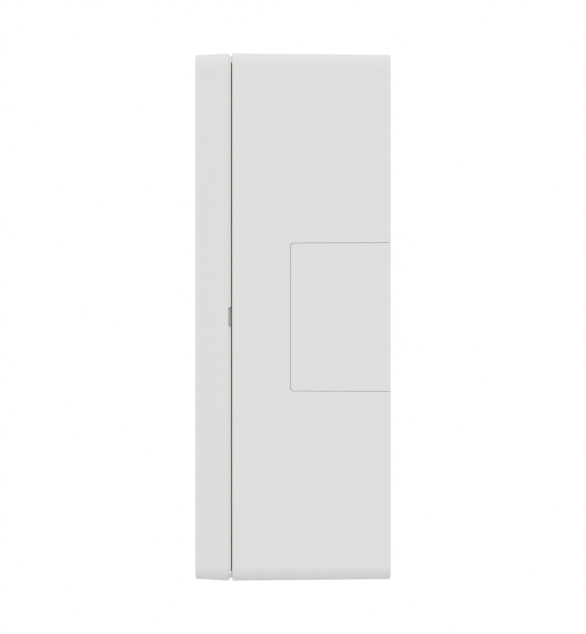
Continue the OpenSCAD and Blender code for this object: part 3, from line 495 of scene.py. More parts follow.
def make_lens_barrel():
    """Lens barrel with a grooved head, a cut thread and a stepped black throat."""
    low, high = box_mm("lens_barrel")
    glass_y = box_mm("lens_elements")[0].y
    centre = middle((low, high))
    head_r = (high.x - low.x) / 2
    thread_r, bore_r, throat_r = 6.0, 4.2, 4.96
    root_r, crest_r, thread_pitch = thread_r - 0.34, thread_r - 0.02, 0.5
    groove_r, groove_pitch = head_r - 0.16, 0.55
    neck, seat = low.y + 3, low.y + 2
    profile = [(6.25, low.y), (6.6, low.y), (6.68, low.y + 0.14), (6.84, low.y + 0.14), (6.92, low.y),
               (head_r - 0.25, low.y), (head_r, low.y + 0.25)]
    for k in range(3):
        y = low.y + 0.75 + groove_pitch * k
        profile += [(head_r, y), (groove_r, y + 0.1), (groove_r, y + 0.25), (head_r, y + 0.35)]
    profile += [(head_r, neck - 0.2), (head_r - 0.2, neck), (thread_r - 0.4, neck)]
    y = neck + 0.4
    while y < high.y - 0.8:
        profile += [(root_r, y), (crest_r, y + 0.2), (root_r, y + 0.4)]
        y += thread_pitch
    profile += [(thread_r - 0.4, high.y - 0.25), (thread_r - 0.65, high.y), (bore_r, high.y), (bore_r, seat),
                (throat_r, seat), (throat_r, low.y + 0.62)]
    steps = 4
    for k in range(steps):
        r = 4.98 + 1.2 * k / steps
        rise = low.y + 0.6 * (1 - k / steps)
        profile += [(r + 0.12, rise), (r + 0.3, rise - 0.13)]
    shape = Shape()
    shape.turned(profile, centre, 96)
    stand_in(shape, "lens_barrel_turned", "lens_barrel", "lens_black", 25)

    ring = Shape()
    ring.turned([(3.4, glass_y + 1.02), (4.9, glass_y + 1.02), (4.9, glass_y + 1.3),
                 (3.7, glass_y + 1.3)], centre, 72)
    stop_y = low.y + 2.6
    ring.turned([(1.5, stop_y), (4.15, stop_y - 0.5), (4.15, stop_y - 0.2), (1.5, stop_y + 0.12)], centre, 72)
    publish(ring, "lens_baffles", BODY_OF["lens_barrel"], "lens_black")


def make_camera_flex():
    """Flat cable in a gentle step from under the image sensor board to its connector."""
    low, high = box_mm("camera_flex")
    thick = 0.18
    top = low.y + 0.11
    foot = high.y - 0.11
    bend = high.z - 5.2
    path = smooth_line([(0, top, high.z), (0, top, bend + 2.2), (0, top + 0.08, bend + 1.0),
                        (0, (top + foot) / 2, bend), (0, foot - 0.08, bend - 1.0),
                        (0, foot, bend - 2.2), (0, foot, low.z)])
    half = (high.x - low.x) / 2
    section = rounded(rectangle(half, thick / 2), radius=0.06, steps=2)
    shape = Shape()
    shape.swept(path, section, (1, 0, 0))
    stand_in(shape, "camera_flex_ribbon", "camera_flex", "flex_amber", 50)


# -------- motion lens

def make_motion_lens():
    """Milky lens plate with a five by three array of small stepped lenses in its front."""
    low, high = box_mm("motion_lens")
    centre = middle((low, high))
    flange_step = 1.8
    width = high.x - low.x - 2 * flange_step
    height = high.z - low.z - 2 * flange_step
    radius = 1.9
    step_y = low.y + 1.3
    margin = 0.9
    columns, rows = 5, 3
    cell_w = (width - 2 * margin) / columns
    cell_h = (height - 2 * margin) / rows
    ring_pitch = 0.95
    ring_depth = 0.2
    border_w = 0.3
    border_depth = 0.26

    def depth_at(x, z):
        """Rounded rings in each cell and a groove between cells, fading out at the edge of the array."""
        edge = min(width / 2 - margin - abs(x), height / 2 - margin - abs(z))
        if edge <= 0:
            return 0.0
        inside_x = x + width / 2 - margin
        inside_z = z + height / 2 - margin
        dx = inside_x - (int(inside_x / cell_w) + 0.5) * cell_w
        dz = inside_z - (int(inside_z / cell_h) + 0.5) * cell_h
        wall = min(cell_w / 2 - abs(dx), cell_h / 2 - abs(dz))
        ring = 0.5 - 0.5 * math.cos(2 * math.pi * math.hypot(dx, dz) / ring_pitch)
        border = max(0.0, 1 - wall / border_w)
        return min(1.0, edge / border_w) * (ring_depth * ring * (1 - border) + border_depth * border)

    def corner_blend(u, v):
        """Bends the corner of a square grid to a round corner without bunching its points."""
        su, sv = math.copysign(1, u), math.copysign(1, v)
        a = (abs(u) - (width / 2 - radius)) / radius
        b = (abs(v) - (height / 2 - radius)) / radius
        if a <= 0 or b <= 0:
            return u, v
        x = width / 2 - radius + radius * a * math.sqrt(1 - b * b / 2)
        z = height / 2 - radius + radius * b * math.sqrt(1 - a * a / 2)
        return su * x, sv * z

    across, up = 168, 84
    points = []
    for j in range(up + 1):
        for i in range(across + 1):
            x, z = corner_blend(width * (i / across - 0.5), height * (j / up - 0.5))
            points.append((centre[0] + x, low.y + depth_at(x, z), centre[1] + z))
    faces = [(j * (across + 1) + i, j * (across + 1) + i + 1, (j + 1) * (across + 1) + i + 1,
              (j + 1) * (across + 1) + i) for j in range(up) for i in range(across)]
    rim = list(range(across))
    rim += [j * (across + 1) + across for j in range(up)]
    rim += [up * (across + 1) + across - i for i in range(across)]
    rim += [(up - j) * (across + 1) for j in range(up)]
    base = len(points)
    points += [(points[k][0], step_y + 0.01, points[k][2]) for k in rim]
    count = len(rim)
    faces += [(rim[k], rim[(k + 1) % count], base + (k + 1) % count, base + k) for k in range(count)]
    faces.append(tuple(base + k for k in reversed(range(count))))
    shape = Shape()
    shape.add(points, faces)
    flange = rounded(rectangle((high.x - low.x) / 2, (high.z - low.z) / 2), radius=2.4, steps=8)
    shape.prism(flange, step_y, high.y, centre)
    stand_in(shape, "motion_lens_array", "motion_lens", "motion_white", 40)


# -------- speaker

def make_speaker_mesh():
    """Woven metal cloth with a pressed rim, behind the grille."""
    low, high = box_mm("speaker_mesh")
    centre = middle((low, high))
    width, height = high.x - low.x, high.z - low.z
    mid_y = (low.y + high.y) / 2
    pitch = 0.44
    wire_r = 0.062
    lift = 0.034
    reach = (width - height) / 2
    shape = Shape()
    section = [(wire_r, 0), (0, wire_r), (-wire_r, 0), (0, -wire_r)]

    def woven(fixed, half_length, upright, phase):
        count = int(half_length / pitch)
        path = []
        for k in range(-count, count + 1):
            y = mid_y + lift * (1 if (k + phase) % 2 else -1)
            along = k * pitch
            spot = (fixed, along) if upright else (along, fixed)
            path.append((centre[0] + spot[0], y, centre[1] + spot[1]))
        if len(path) > 2:
            shape.swept(path, section, (1, 0, 0) if upright else (0, 0, 1))

    columns = int((width / 2 - 0.5) / pitch)
    for i in range(-columns, columns + 1):
        x = i * pitch
        beyond = max(abs(x) - reach, 0)
        woven(x, math.sqrt(max((height / 2 - 0.3) ** 2 - beyond ** 2, 0)), True, i)
    rows = int((height / 2 - 0.5) / pitch)
    for j in range(-rows, rows + 1):
        z = j * pitch
        woven(z, reach + math.sqrt(max((height / 2 - 0.3) ** 2 - z ** 2, 0)), False, j + 1)
    rim_w = 0.55
    rim = [(0.0, low.y + 0.02), (rim_w, low.y + 0.02), (rim_w + 0.07, mid_y), (rim_w, high.y - 0.02),
           (0.0, high.y - 0.02)]
    shape.rings(pill_rings(centre, width, height, rim), closed_loop=True)
    stand_in(shape, "speaker_mesh_woven", "speaker_mesh", "mesh_black", 60)


def make_speaker_cone():
    """Oval diaphragm with a rolled edge, ribs towards its ends and a round dust cap."""
    low, high = box_mm("speaker_cone")
    centre = middle((low, high))
    width, height = high.x - low.x, high.z - low.z
    face_y = high.y - 0.4
    skin = 0.3
    roll, roll_from, roll_to = 0.5, 0.5, 2.1
    rib, ribs_from, rib_pitch = 0.06, 2.5, 1.1

    def height_at(offset):
        if roll_from <= offset < roll_to:
            return roll * math.sin(math.pi * (offset - roll_from) / (roll_to - roll_from))
        if offset < ribs_from:
            return 0.0
        return -2 * rib + rib * math.cos((offset - ribs_from) * 2 * math.pi / rib_pitch)

    offsets = [0, 0.25] + [roll_from + 0.2 * k for k in range(11)]
    offsets += [ribs_from + rib_pitch * k / 5 for k in range(1, 17)] + [height / 2 - 0.005]
    upper = [(d, face_y - height_at(d)) for d in offsets]
    lower = [(d, y + skin) for d, y in reversed(upper)]
    shape = Shape()
    shape.rings(pill_rings(centre, width, height, upper + lower), closed_loop=True)
    cap_r = 4.0
    cap = [(cap_r * math.sin(a), face_y + 0.02 - 0.62 * math.cos(a) ** 1.5)
           for a in [math.pi / 2 * k / 14 for k in range(15)]]
    cap[0] = (ON_AXIS, cap[0][1])
    shape.turned(cap + [(cap_r, face_y + 0.2), (ON_AXIS, face_y + 0.2)], centre, 48)
    stand_in(shape, "speaker_diaphragm", "speaker_cone", "speaker_cone_grey", 50)


# -------- soft parts

def make_return_pad():
    """Silicone dome that pushes the call button back."""
    low, high = box_mm("return_pad")
    centre = middle((low, high))
    skin = 0.7
    crown, base = low.y, high.y
    profile = rounded([(3.2, crown), (8.0, crown), (11.9, base - skin), (15.0, base - skin), (15.0, base),
                       (11.2, base), (7.5, crown + skin), (3.2, crown + skin)], radius=0.8, steps=5)
    shape = Shape()
    shape.turned(profile, centre, 96)
    pad = stand_in(shape, "return_pad_dome", "return_pad", "silicone", 60)
    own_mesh(pad)


def make_grommet():
    """Rubber grommet with rolled flanges and pressed rings round the cable bore."""
    low, high = box_mm("cable_grommet")
    centre = middle((low, high))
    flange_r = (high.x - low.x) / 2
    bore_r, waist_r = 4.0, 8.95
    wall_inside, wall_outside = low.y + 2.5, high.y - 1.0
    outline = [(bore_r + 0.35, high.y - 0.02), (5.2, high.y)]
    for ring_r in (6.1, 7.5, 8.9):
        outline += [(ring_r - 0.3, high.y), (ring_r - 0.18, high.y - 0.3), (ring_r + 0.18, high.y - 0.3),
                    (ring_r + 0.3, high.y)]
    outline += [(flange_r - 0.3, high.y), (flange_r, high.y - 0.3), (flange_r, wall_outside + 0.02),
                (waist_r, wall_outside + 0.02), (waist_r, wall_inside - 0.02),
                (flange_r, wall_inside - 0.02), (flange_r, wall_inside - 0.5), (flange_r - 1.1, low.y + 0.45),
                (7.4, low.y + 0.1), (bore_r + 0.5, low.y), (bore_r, low.y + 0.5), (bore_r, high.y - 0.35)]
    shape = Shape()
    shape.turned(rounded(outline, radius=0.16, steps=3), centre, 96)
    stand_in(shape, "cable_grommet_moulded", "cable_grommet", "black_rubber", 50)


# -------- metal parts

def make_clips():
    """Spring clips bent over the housing's upstand, each with a flared inner end."""
    sheet = 0.3
    shape = Shape()
    for low, high in solids_mm("retaining_clips"):
        side = 1 if low.x > 0 else -1
        outer_x = max(abs(low.x), abs(high.x)) - sheet / 2
        inner_x = min(abs(low.x), abs(high.x)) + sheet / 2
        bridge_y = low.y + sheet / 2
        bend = 0.45
        turns = (math.pi / 8, math.pi / 4, 3 * math.pi / 8)
        line = [(outer_x, high.y - 1.7), (outer_x, bridge_y + bend)]
        line += [(outer_x - bend * (1 - math.cos(a)), bridge_y + bend * (1 - math.sin(a))) for a in turns]
        line += [(outer_x - bend, bridge_y), (inner_x + bend, bridge_y)]
        line += [(inner_x + bend * (1 - math.sin(a)), bridge_y + bend * (1 - math.cos(a))) for a in turns]
        line += [(inner_x, bridge_y + bend), (inner_x, high.y - 1.3), (inner_x - 0.25, high.y - 0.9),
                 (inner_x - 0.8, high.y - 0.3)]
        path = [(side * x, y, (low.z + high.z) / 2) for x, y in line]
        half = (high.z - low.z) / 2
        section = rounded(rectangle(half, sheet / 2), radius=0.1, steps=2)
        shape.swept(path, section, (0, 0, 1))
    stand_in(shape, "retaining_clips_bent", "retaining_clips", "spring_steel", 50)


make_lens_barrel()
make_camera_flex()
make_motion_lens()
make_speaker_mesh()
make_speaker_cone()
make_return_pad()
make_grommet()
make_clips()


# -------- circuit boards

BOARD_LOW, BOARD_HIGH = box_mm("main_board")
BOARD_Y = BOARD_LOW.y       # the main board's front
# Small parts and plated holes are strewn between these two corners, each (x, z).
FIELD_LOW = (BOARD_LOW.x + 2, BOARD_LOW.z + 7)
FIELD_HIGH = (BOARD_HIGH.x - 2, BOARD_HIGH.z - 7)
COPPER_MM = 0.035           # how far tracks stand off the board
SUNK_MM = 0.01              # how far flat details reach into what they lie on
SUNK_Y = BOARD_Y + SUNK_MM
PAD_Y = BOARD_Y - 0.05      # fronts of the plated pads and of the printing
INK_Y = BOARD_Y - 0.02
PIN_PITCH_MM = 2.54
SMALL_PITCH_MM = 1.27
CHIPS = solids_mm("board_chips")
LAMPS = solids_mm("indicator_leds")
SWITCHES = solids_mm("switch_bodies")
SOCKETS = [b for b in solids_mm("board_connectors") if b[0].y < BOARD_Y]
ON_BOARD = [
    "processor_shield", "board_chips", "wireless_module", "board_connectors", "motion_sensor", "microphone",
    "switch_bodies", "tamper_switch_body", "indicator_leds", "speaker_magnet", "camera_holder",
    "image_sensor_board", "board_screws", "carrier_screws",
]


def keep_outs(names, front):
    """Where parts stand on a board, as (low x, low z, high x, high z)."""
    found = []
    for name in names:
        found += [(low.x, low.z, high.x, high.z) for low, high in solids_mm(name)
                  if low.y < front < high.y + 0.3]
    return found


def is_clear(x, z, reach, taken):
    """Whether a square round a spot stays off the places that are taken."""
    return all(x + reach < a or x - reach > c or z + reach < b or z - reach > d for a, b, c, d in taken)


def trace(shape, points, width, front):
    """A flat copper track along (x, z) points."""
    half = width / 2
    section = [(-COPPER_MM, -half), (SUNK_MM, -half), (SUNK_MM, half), (-COPPER_MM, half)]
    shape.swept([(x, front, z) for x, z in points], section, (0, 1, 0))


def bundle(shape, vias, start, end, count, pitch, upright):
    """Side-by-side tracks from start to end: straight, then at 45 degrees, then straight again."""
    for i in range(count):
        shift = (i - (count - 1) / 2) * pitch
        x0, z0 = (start[0] + shift, start[1]) if upright else (start[0], start[1] + shift)
        x1, z1 = (end[0] + shift, end[1]) if upright else (end[0], end[1] + shift)
        dx, dz = x1 - x0, z1 - z0
        slope = min(abs(dx), abs(dz))
        sx, sz = math.copysign(1, dx), math.copysign(1, dz)
        if upright:
            lead = (abs(dz) - slope) / 2 * sz
            bend = [(x0, z0 + lead), (x0 + sx * slope, z0 + lead + sz * slope)]
        else:
            lead = (abs(dx) - slope) / 2 * sx
            bend = [(x0 + lead, z0), (x0 + lead + sx * slope, z0 + sz * slope)]
        line = [(x0, z0), *bend, (x1, z1)] if slope > 0.01 else [(x0, z0), (x1, z1)]
        trace(shape, line, 0.2, BOARD_Y)
        if (i + len(vias)) % 3 == 0:
            vias.append((x1, z1))


def outline_strip(shape, low, high, gap):
    """A printed rectangle round a part of the main board."""
    line = 0.16
    x0, z0, x1, z1 = low.x - gap, low.z - gap, high.x + gap, high.z + gap
    for a, b, c, d in ((x0, z0, x1, z0 + line), (x0, z1 - line, x1, z1), (x0, z0, x0 + line, z1),
                       (x1 - line, z0, x1, z1)):
        shape.box((a, INK_Y, b), (c, SUNK_Y, d))


def passives(bodies, ends, taken, low, high, front, count, seed):
    """Small resistors and capacitors on free places of a grid, each with two solder ends."""
    draw = random.Random(seed)
    long, wide = 1.6, 0.82
    end_half, end_proud, body_short = 0.17, 0.02, 0.32
    free_reach, own_reach = 1.25, 1.1
    placed = 0
    for _ in range(count * 30):
        x = round(draw.uniform(low[0], high[0]) / SMALL_PITCH_MM) * SMALL_PITCH_MM
        z = round(draw.uniform(low[1], high[1]) / SMALL_PITCH_MM) * SMALL_PITCH_MM
        lying = draw.random() < 0.5
        kind = draw.randrange(2)
        if not is_clear(x, z, free_reach, taken):
            continue
        tall = 0.45 + 0.25 * kind
        half_x, half_z = (long / 2, wide / 2) if lying else (wide / 2, long / 2)
        inner_x, inner_z = (half_x - body_short, half_z) if lying else (half_x, half_z - body_short)
        bodies[kind].box((x - inner_x, front - tall, z - inner_z), (x + inner_x, front, z + inner_z))
        end_x, end_z = (end_half, half_z + end_proud) if lying else (half_x + end_proud, end_half)
        for side in (-1, 1):
            mid_x, mid_z = (x + side * half_x, z) if lying else (x, z + side * half_z)
            ends.box((mid_x - end_x, front - tall - end_proud, mid_z - end_z),
                     (mid_x + end_x, front, mid_z + end_z))
        taken.append((x - own_reach, z - own_reach, x + own_reach, z + own_reach))
        placed += 1
        if placed == count:
            break


def chip_pins(shape, low, high, all_sides):
    """Bent leads along a chip's sides."""
    pitch = 0.8
    sheet = 0.06
    top = (low.y + high.y) / 2
    foot = BOARD_Y - sheet
    section = rectangle(0.16, sheet)
    reach = [(0.0, top), (0.28, top), (0.42, foot), (0.85, foot)]
    centre_x, centre_z = middle((low, high))

    def along(length):
        count = int((length - pitch) / pitch) + 1
        return [(k - (count - 1) / 2) * pitch for k in range(count)]

    for side, edge_x, edge_z in ((-1, low.x, low.z), (1, high.x, high.z)):
        for shift in along(high.z - low.z):
            shape.swept([(edge_x + side * r, y, centre_z + shift) for r, y in reach], section, (0, 0, 1))
        for shift in along(high.x - low.x) if all_sides else ():
            shape.swept([(centre_x + shift, y, edge_z + side * r) for r, y in reach], section, (1, 0, 0))


def holed_plate(shape, centre, half, hole_r, front, back):
    """A square plate with a round hole."""
    steps = 48
    square, circle = [], []
    for k in range(steps):
        angle = 2 * math.pi * (k + 0.5) / steps
        c, s = math.cos(angle), math.sin(angle)
        reach = half / max(abs(c), abs(s))
        square.append((centre[0] + reach * c, centre[1] + reach * s))
        circle.append((centre[0] + hole_r * c, centre[1] + hole_r * s))
    shape.rings([[(x, y, z) for x, z in line] for line, y in
                 ((square, front), (square, back), (circle, back), (circle, front))], closed_loop=True)


def make_board_tracks():
    """Bundles of copper tracks between the parts. Gives back the spots of their plated holes."""
    tracks = Shape()
    vias = []

    def run(start, end, count, pitch, upright=True):
        bundle(tracks, vias, start, end, count, pitch, upright)

    ribbon = next(b for b in SOCKETS if abs(middle(b)[0]) < 1)
    shield = box_mm("processor_shield")
    radio = box_mm("wireless_module")
    sensor_z = middle(box_mm("motion_sensor"))[1]
    call_x, call_z = middle(min(SWITCHES, key=lambda b: b[0].z))
    ribbon_top = ribbon[1].z
    run((-3.2, ribbon_top + 0.3), (-11, shield[0].z - 0.2), 9, 0.45)
    run((3.2, ribbon_top + 0.3), (13, radio[0].z - 0.2), 5, 0.45)
    run((shield[1].x + 0.2, 57), (radio[0].x - 0.2, 55), 8, 0.5, upright=False)
    for side in (-1, 1):
        flash = next(c for c in CHIPS if side * middle(c)[0] > 25 and middle(c)[1] > 30)
        low_chip = next(c for c in CHIPS if side * middle(c)[0] > 25 and middle(c)[1] < 0)
        socket = next(b for b in SOCKETS if side * middle(b)[0] > 20)
        run((side * 22, shield[0].z), (side * 25, flash[1].z + 1), 7, 0.5)
        run((side * 25.5, flash[0].z - 1), (side * 27, 26.5), 6, 0.5)
        run((side * 27.5, 17.6), (side * 28.5, 10.4), 5, 0.5)
        run((side * 29, 3.6), (side * 28, low_chip[1].z + 1), 5, 0.5)
        run((side * 28, low_chip[0].z - 1), (side * 27.2, socket[1].z + 0.4), 6, 0.5)
        run((side * 26, socket[0].z - 0.4), (side * 24.4, call_z + 4), 3, 0.6)
        run((call_x + side * 3.6, call_z), (side * 19.6, call_z + 8), 3, 0.6, upright=False)
        run((side * 6.6, sensor_z), (side * 22, sensor_z + 7), 4, 0.5, upright=False)
        run((side * 1.2, -64.8), (side * 6, call_z - 7), 2, 0.6)
    lamp_r = max(math.hypot(middle(b)[0], middle(b)[1] - call_z) for b in LAMPS if b[0].z < 0)
    for r in (lamp_r - 1.6, lamp_r + 1.6):
        arc = [(call_x + r * math.cos(a), call_z + r * math.sin(a))
               for a in [math.radians(3 * k - 70) for k in range(107)]]
        trace(tracks, arc, 0.3, BOARD_Y)
    publish(tracks, "board_tracks", BOARD_BODY, "board_green", material="track_green")
    return vias


def make_board_metal(vias, taken):
    """Plated holes, test pads, screw pads and the leads of the chips."""
    plated = Shape()
    draw = random.Random(11)
    spots = list(vias)
    for _ in range(160):
        x = draw.uniform(FIELD_LOW[0], FIELD_HIGH[0])
        z = draw.uniform(FIELD_LOW[1], FIELD_HIGH[1])
        if is_clear(x, z, 0.5, taken):
            spots.append((x, z))
    hole_r, via_r = 0.14, 0.32
    for spot in spots:
        plated.washer(spot, hole_r, via_r, PAD_Y, SUNK_Y, 12)
    pad_room = 0.9
    for k in range(8):
        x, z = -8.9 + PIN_PITCH_MM * k, -60.5
        plated.disc((x, z), 0.65, PAD_Y, SUNK_Y, 20)
        taken.append((x - pad_room, z - pad_room, x + pad_room, z + pad_room))
    for low, high in solids_mm("board_screws"):
        if low.y < BOARD_Y:
            plated.washer(middle((low, high)), 1.1, 2.4, BOARD_Y - 0.04, SUNK_Y, 32)
    publish(plated, "board_plating", BOARD_BODY, "gold_plate")

    leads = Shape()
    for low, high in CHIPS:
        chip_pins(leads, low, high, all_sides=high.x - low.x < 7.2)
    publish(leads, "chip_leads", BOARD_BODY, "tinned_steel")


def make_board_print():
    """White printed outlines round the parts, with no lettering."""
    ink = Shape()
    for parts, gap in (([*CHIPS, *SOCKETS], 1.15), (SWITCHES, 0.7), (LAMPS, 0.4)):
        for low, high in parts:
            outline_strip(ink, low, high, gap)
    for low, high in CHIPS:
        ink.disc((low.x - 1.7, high.z + 1.0), 0.3, INK_Y, SUNK_Y, 16)
    ink.washer(middle(box_mm("motion_sensor")), 5.1, 5.3, INK_Y, SUNK_Y, 48)
    publish(ink, "board_print", BOARD_BODY, "membrane_white", material="print_white")


def make_passives(taken):
    """Resistors and capacitors on the main board and on the infrared board."""
    bodies = [Shape(), Shape()]
    ends = Shape()
    passives(bodies, ends, taken, FIELD_LOW, FIELD_HIGH, BOARD_Y, count=120, seed=5)
    infrared_low, infrared_high = box_mm("infrared_board")
    crowded = keep_outs(["infrared_leds", "light_sensor", "camera_holder"], infrared_low.y)
    lens_half = 9.5
    crowded.append((-lens_half, infrared_low.z, lens_half, infrared_high.z))
    margin = 1.5
    passives(bodies, ends, crowded, (infrared_low.x + margin, infrared_low.z + margin),
             (infrared_high.x - margin, infrared_high.z - margin), infrared_low.y, count=16, seed=8)
    publish(bodies[0], "resistor_bodies", BOARD_BODY, "chip_black", edge_mm=0.05)
    publish(bodies[1], "capacitor_bodies", BOARD_BODY, "sensor_cream", edge_mm=0.05, material="ceramic_tan")
    publish(ends, "solder_ends", BOARD_BODY, "tinned_steel", edge_mm=0.08)


def make_small_parts():
    """Steel tops of the switches, lamp phosphor, connector pins, the latch and the sensor's window."""
    tops = Shape()
    for low, high in SWITCHES:
        centre = middle((low, high))
        holed_plate(tops, centre, half=2.85, hole_r=1.95, front=low.y - 0.18, back=low.y + 0.02)
        for sx in (-1, 1):
            for sz in (-1, 1):
                rivet = centre[0] + 2.2 * sx, centre[1] + 2.2 * sz
                tops.turned([(ON_AXIS, low.y - 0.32), (0.3, low.y - 0.3), (0.42, low.y - 0.16),
                             (ON_AXIS, low.y - 0.16)], rivet, 16)
    publish(tops, "switch_tops", BOARD_BODY, "tinned_steel", edge_mm=0.03)

    glow = Shape()
    for low, high in LAMPS:
        glow.turned([(ON_AXIS, low.y - 0.03), (0.72, low.y - 0.03), (0.8, low.y), (0.8, low.y + SUNK_MM),
                     (ON_AXIS, low.y + SUNK_MM)], middle((low, high)), 24)
    publish(glow, "lamp_phosphor", BOARD_BODY, "sensor_cream", material="phosphor_yellow")

    pins = Shape()
    latch = Shape()
    for low, high in SOCKETS:
        x, z = middle((low, high))
        if abs(x) > 20:
            for pin_x in (x - 1.0, x + 1.0):
                pins.box((pin_x - 0.25, low.y + 0.7, z - 0.25), (pin_x + 0.25, high.y - 0.9, z + 0.25))
        else:
            latch.box((low.x + 0.5, low.y - 0.22, low.z + 0.1), (high.x - 0.5, low.y + 0.02, low.z + 1.1))
            for k in range(17):
                px = x + (k - 8) * 0.5
                pins.box((px - 0.1, BOARD_Y - 0.35, high.z), (px + 0.1, BOARD_Y, high.z + 0.6))
    publish(pins, "connector_pins", BOARD_BODY, "gold_plate")
    publish(latch, "ribbon_latch", BOARD_BODY, "chip_black", edge_mm=0.06)

    window = Shape()
    low, high = box_mm("motion_sensor")
    x, z = middle((low, high))
    window.box((x - 1.95, low.y + 0.12, z - 1.45), (x + 1.95, low.y + 0.31, z + 1.45))
    publish(window, "sensor_window", BOARD_BODY, "infrared_led", edge_mm=0.05)


def make_shield_and_radio():
    """Fence of the processor's can with black discs of painted shade for its vent holes, and a radio board
    with its own can and printed aerial.
    """
    low, high = box_mm("processor_shield")
    fence = Shape()
    x0, z0, x1, z1 = low.x, low.z, high.x, high.z
    out, lap = 0.25, 0.02
    for a, b, c, d in ((x0 - out, z0 - out, x1 + out, z0 + lap), (x0 - out, z1 - lap, x1 + out, z1 + out),
                       (x0 - out, z0, x0 + lap, z1), (x1 - lap, z0, x1 + out, z1)):
        fence.box((a, BOARD_Y - 1.1, b), (c, BOARD_Y, d))
    for k in range(6):
        for z in (z0 + lap, z1 - lap):
            x = x0 + 2 + k * (x1 - x0 - 4) / 5
            fence.box((x - 0.5, BOARD_Y - 1.5, z - 0.32), (x + 0.5, BOARD_Y - 0.9, z + 0.32))
    publish(fence, "shield_fence", BOARD_BODY, "tinned_steel", edge_mm=0.06)
    # black discs on the can's face: painted shade in place of open vent holes
    vent_shade = Shape()
    vent_pitch = 1.9
    for i in range(7):
        for j in range(3):
            spot = (x0 + x1) / 2 + (i - 3) * vent_pitch, (z0 + z1) / 2 + (j - 1) * vent_pitch
            vent_shade.disc(spot, 0.42, low.y - 0.008, low.y + 0.05, 20)
    publish(vent_shade, "shield_vent_shade", BOARD_BODY, "chip_black")

    low, high = box_mm("wireless_module")
    radio_thick = 0.8
    board = Shape()
    board.box((low.x, BOARD_Y - radio_thick, low.z), (high.x, BOARD_Y, high.z))
    publish(board, "radio_board", BOARD_BODY, "board_black", ["wireless_module"], edge_mm=0.05)
    can = Shape()
    x, z = middle((low, high))
    can.prism(rounded(rectangle(5.8, 5.5), radius=0.5), low.y, BOARD_Y - radio_thick + SUNK_MM,
              (x - 2.6, z))
    publish(can, "radio_can", BOARD_BODY, "tinned_steel", edge_mm=0.15)
    metal = Shape()
    aerial = []
    near, far = x + 4.2, x + 8.0
    for k in range(7):
        level = z - 5.4 + 1.7 * k
        aerial += [(near, level), (far, level)] if k % 2 == 0 else [(far, level), (near, level)]
    trace(metal, aerial, 0.45, BOARD_Y - radio_thick)
    for k in range(9):
        for side in (-1, 1):
            pad_x = low.x + 1.2 + SMALL_PITCH_MM * k
            edge = z + side * 6.5
            metal.box((pad_x - 0.35, BOARD_Y - radio_thick - 0.04, edge - 0.55),
                      (pad_x + 0.35, BOARD_Y, edge + 0.02 * side + 0.02))
    publish(metal, "radio_plating", BOARD_BODY, "gold_plate")


def make_boards():
    taken = keep_outs(ON_BOARD, BOARD_Y)
    vias = make_board_tracks()
    make_board_metal(vias, taken)
    make_board_print()
    make_passives(taken)
    make_small_parts()
    make_shield_and_radio()


make_boards()


# -------- stage, light and camera

OBJECT_MID = (cad_low + cad_high) / 2
FLOOR_R = 0.62
FLOOR_DROP = 0.125          # the floor lies this far under the doorbell


def make_stage():
    """A pale round floor under the doorbell, below the edge of the main view, that fades out at its rim."""
    floor_mesh = bpy.data.meshes.new("floor")
    shape = bmesh.new()
    bmesh.ops.create_circle(shape, cap_ends=True, segments=96, radius=FLOOR_R)
    shape.to_mesh(floor_mesh)
    shape.free()
    floor = placed("floor", floor_mesh)
    floor.location = (0, OBJECT_MID.y, cad_low.z - FLOOR_DROP)
    pale = surface("floor_pale", (0.74, 0.74, 0.735), 0.75, drift=(0.01, 90), grain=(4, 0.05))
    tree = pale.node_tree
    coords = node_of(tree, "ShaderNodeTexCoord")
    radius = node_of(tree, "ShaderNodeVectorMath", {0: coords.outputs["Object"]}, operation="LENGTH")
    fade = ranged(tree, radius.outputs["Value"], 1.0, 0.0, (0.3 * FLOOR_R, 0.98 * FLOOR_R))
    tree.links.new(fade, tree.nodes["Principled BSDF"].inputs["Alpha"])
    floor_mesh.materials.append(pale)


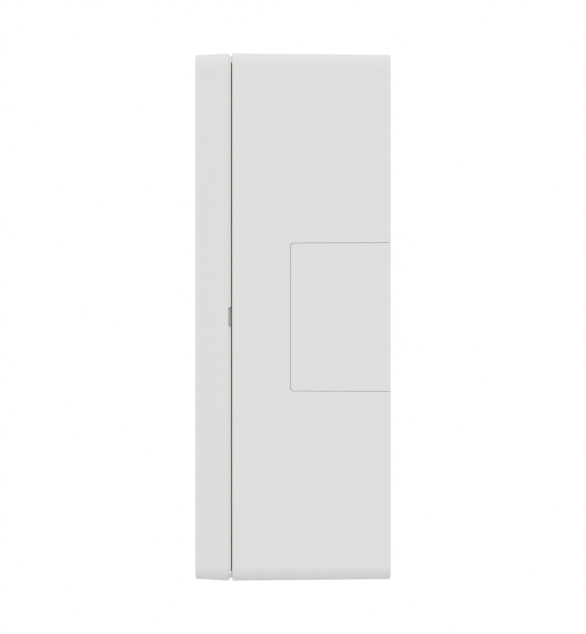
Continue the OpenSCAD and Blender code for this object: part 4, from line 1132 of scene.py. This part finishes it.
def make_world():
    """White all round behind the object. As a light it is dimmer ahead of the front face and underneath."""
    world = bpy.data.worlds.new("studio")
    world.use_nodes = True
    tree = world.node_tree
    white = (1, 1, 1, 1)
    underside = (0.76, 0.76, 0.755, 1)
    dim_front = (0.36, 0.36, 0.37, 1)
    coords = node_of(tree, "ShaderNodeTexCoord")
    parts = node_of(tree, "ShaderNodeSeparateXYZ", {0: coords.outputs["Generated"]})
    under = ranged(tree, parts.outputs["Z"], 1.0, 0.0, (-0.5, -0.2))
    ahead = ranged(tree, parts.outputs["Y"], 1.0, 0.0, (-0.9, -0.35))
    level = ranged(tree, parts.outputs["Z"], 1.0, 0.0, (0.2, 0.6))
    dim = node_of(tree, "ShaderNodeMath", {0: ahead, 1: level}, operation="MULTIPLY")
    backdrop = blended(tree, under, white, underside)
    studio = blended(tree, dim.outputs[0], backdrop, dim_front)
    rays = node_of(tree, "ShaderNodeLightPath")
    shade = blended(tree, rays.outputs["Is Camera Ray"], studio, backdrop)
    tree.links.new(shade, tree.nodes["Background"].inputs["Color"])
    tree.nodes["Background"].inputs["Strength"].default_value = 1.0
    bpy.context.scene.world = world


def area_light(name, place, aim, size, power):
    """A rectangular softbox that faces its aim."""
    lamp = bpy.data.lights.new(name, "AREA")
    lamp.shape = "RECTANGLE"
    lamp.size, lamp.size_y = size
    lamp.energy = power
    obj = placed(name, lamp)
    obj.location = place
    obj.rotation_euler = (Vector(aim) - Vector(place)).to_track_quat("-Z", "Y").to_euler()


def make_camera():
    """Level camera that looks at the doorbell's right side from the distance of the photograph."""
    distance = 0.543
    px_per_m = 3590.0           # scale of the picture at the doorbell's right side
    image_px = 586              # width of the picture
    lens_px = px_per_m * distance
    camera_data = bpy.data.cameras.new("camera")
    camera_data.sensor_fit = "HORIZONTAL"
    camera_data.sensor_width = 36.0
    camera_data.lens = lens_px * camera_data.sensor_width / image_px
    camera_data.clip_start = 0.01
    camera_data.clip_end = 20
    camera = placed("camera", camera_data)
    camera.location = (cad_high.x + distance, OBJECT_MID.y, OBJECT_MID.z)
    camera.rotation_euler = (math.pi / 2, 0, math.pi / 2)
    bpy.context.scene.camera = camera


make_stage()
make_world()
area_light("side_softbox", (1.6, OBJECT_MID.y, 0.25), OBJECT_MID, size=(1.2, 1.2), power=2.4)
make_camera()
bpy.context.scene.view_settings.view_transform = "Standard"
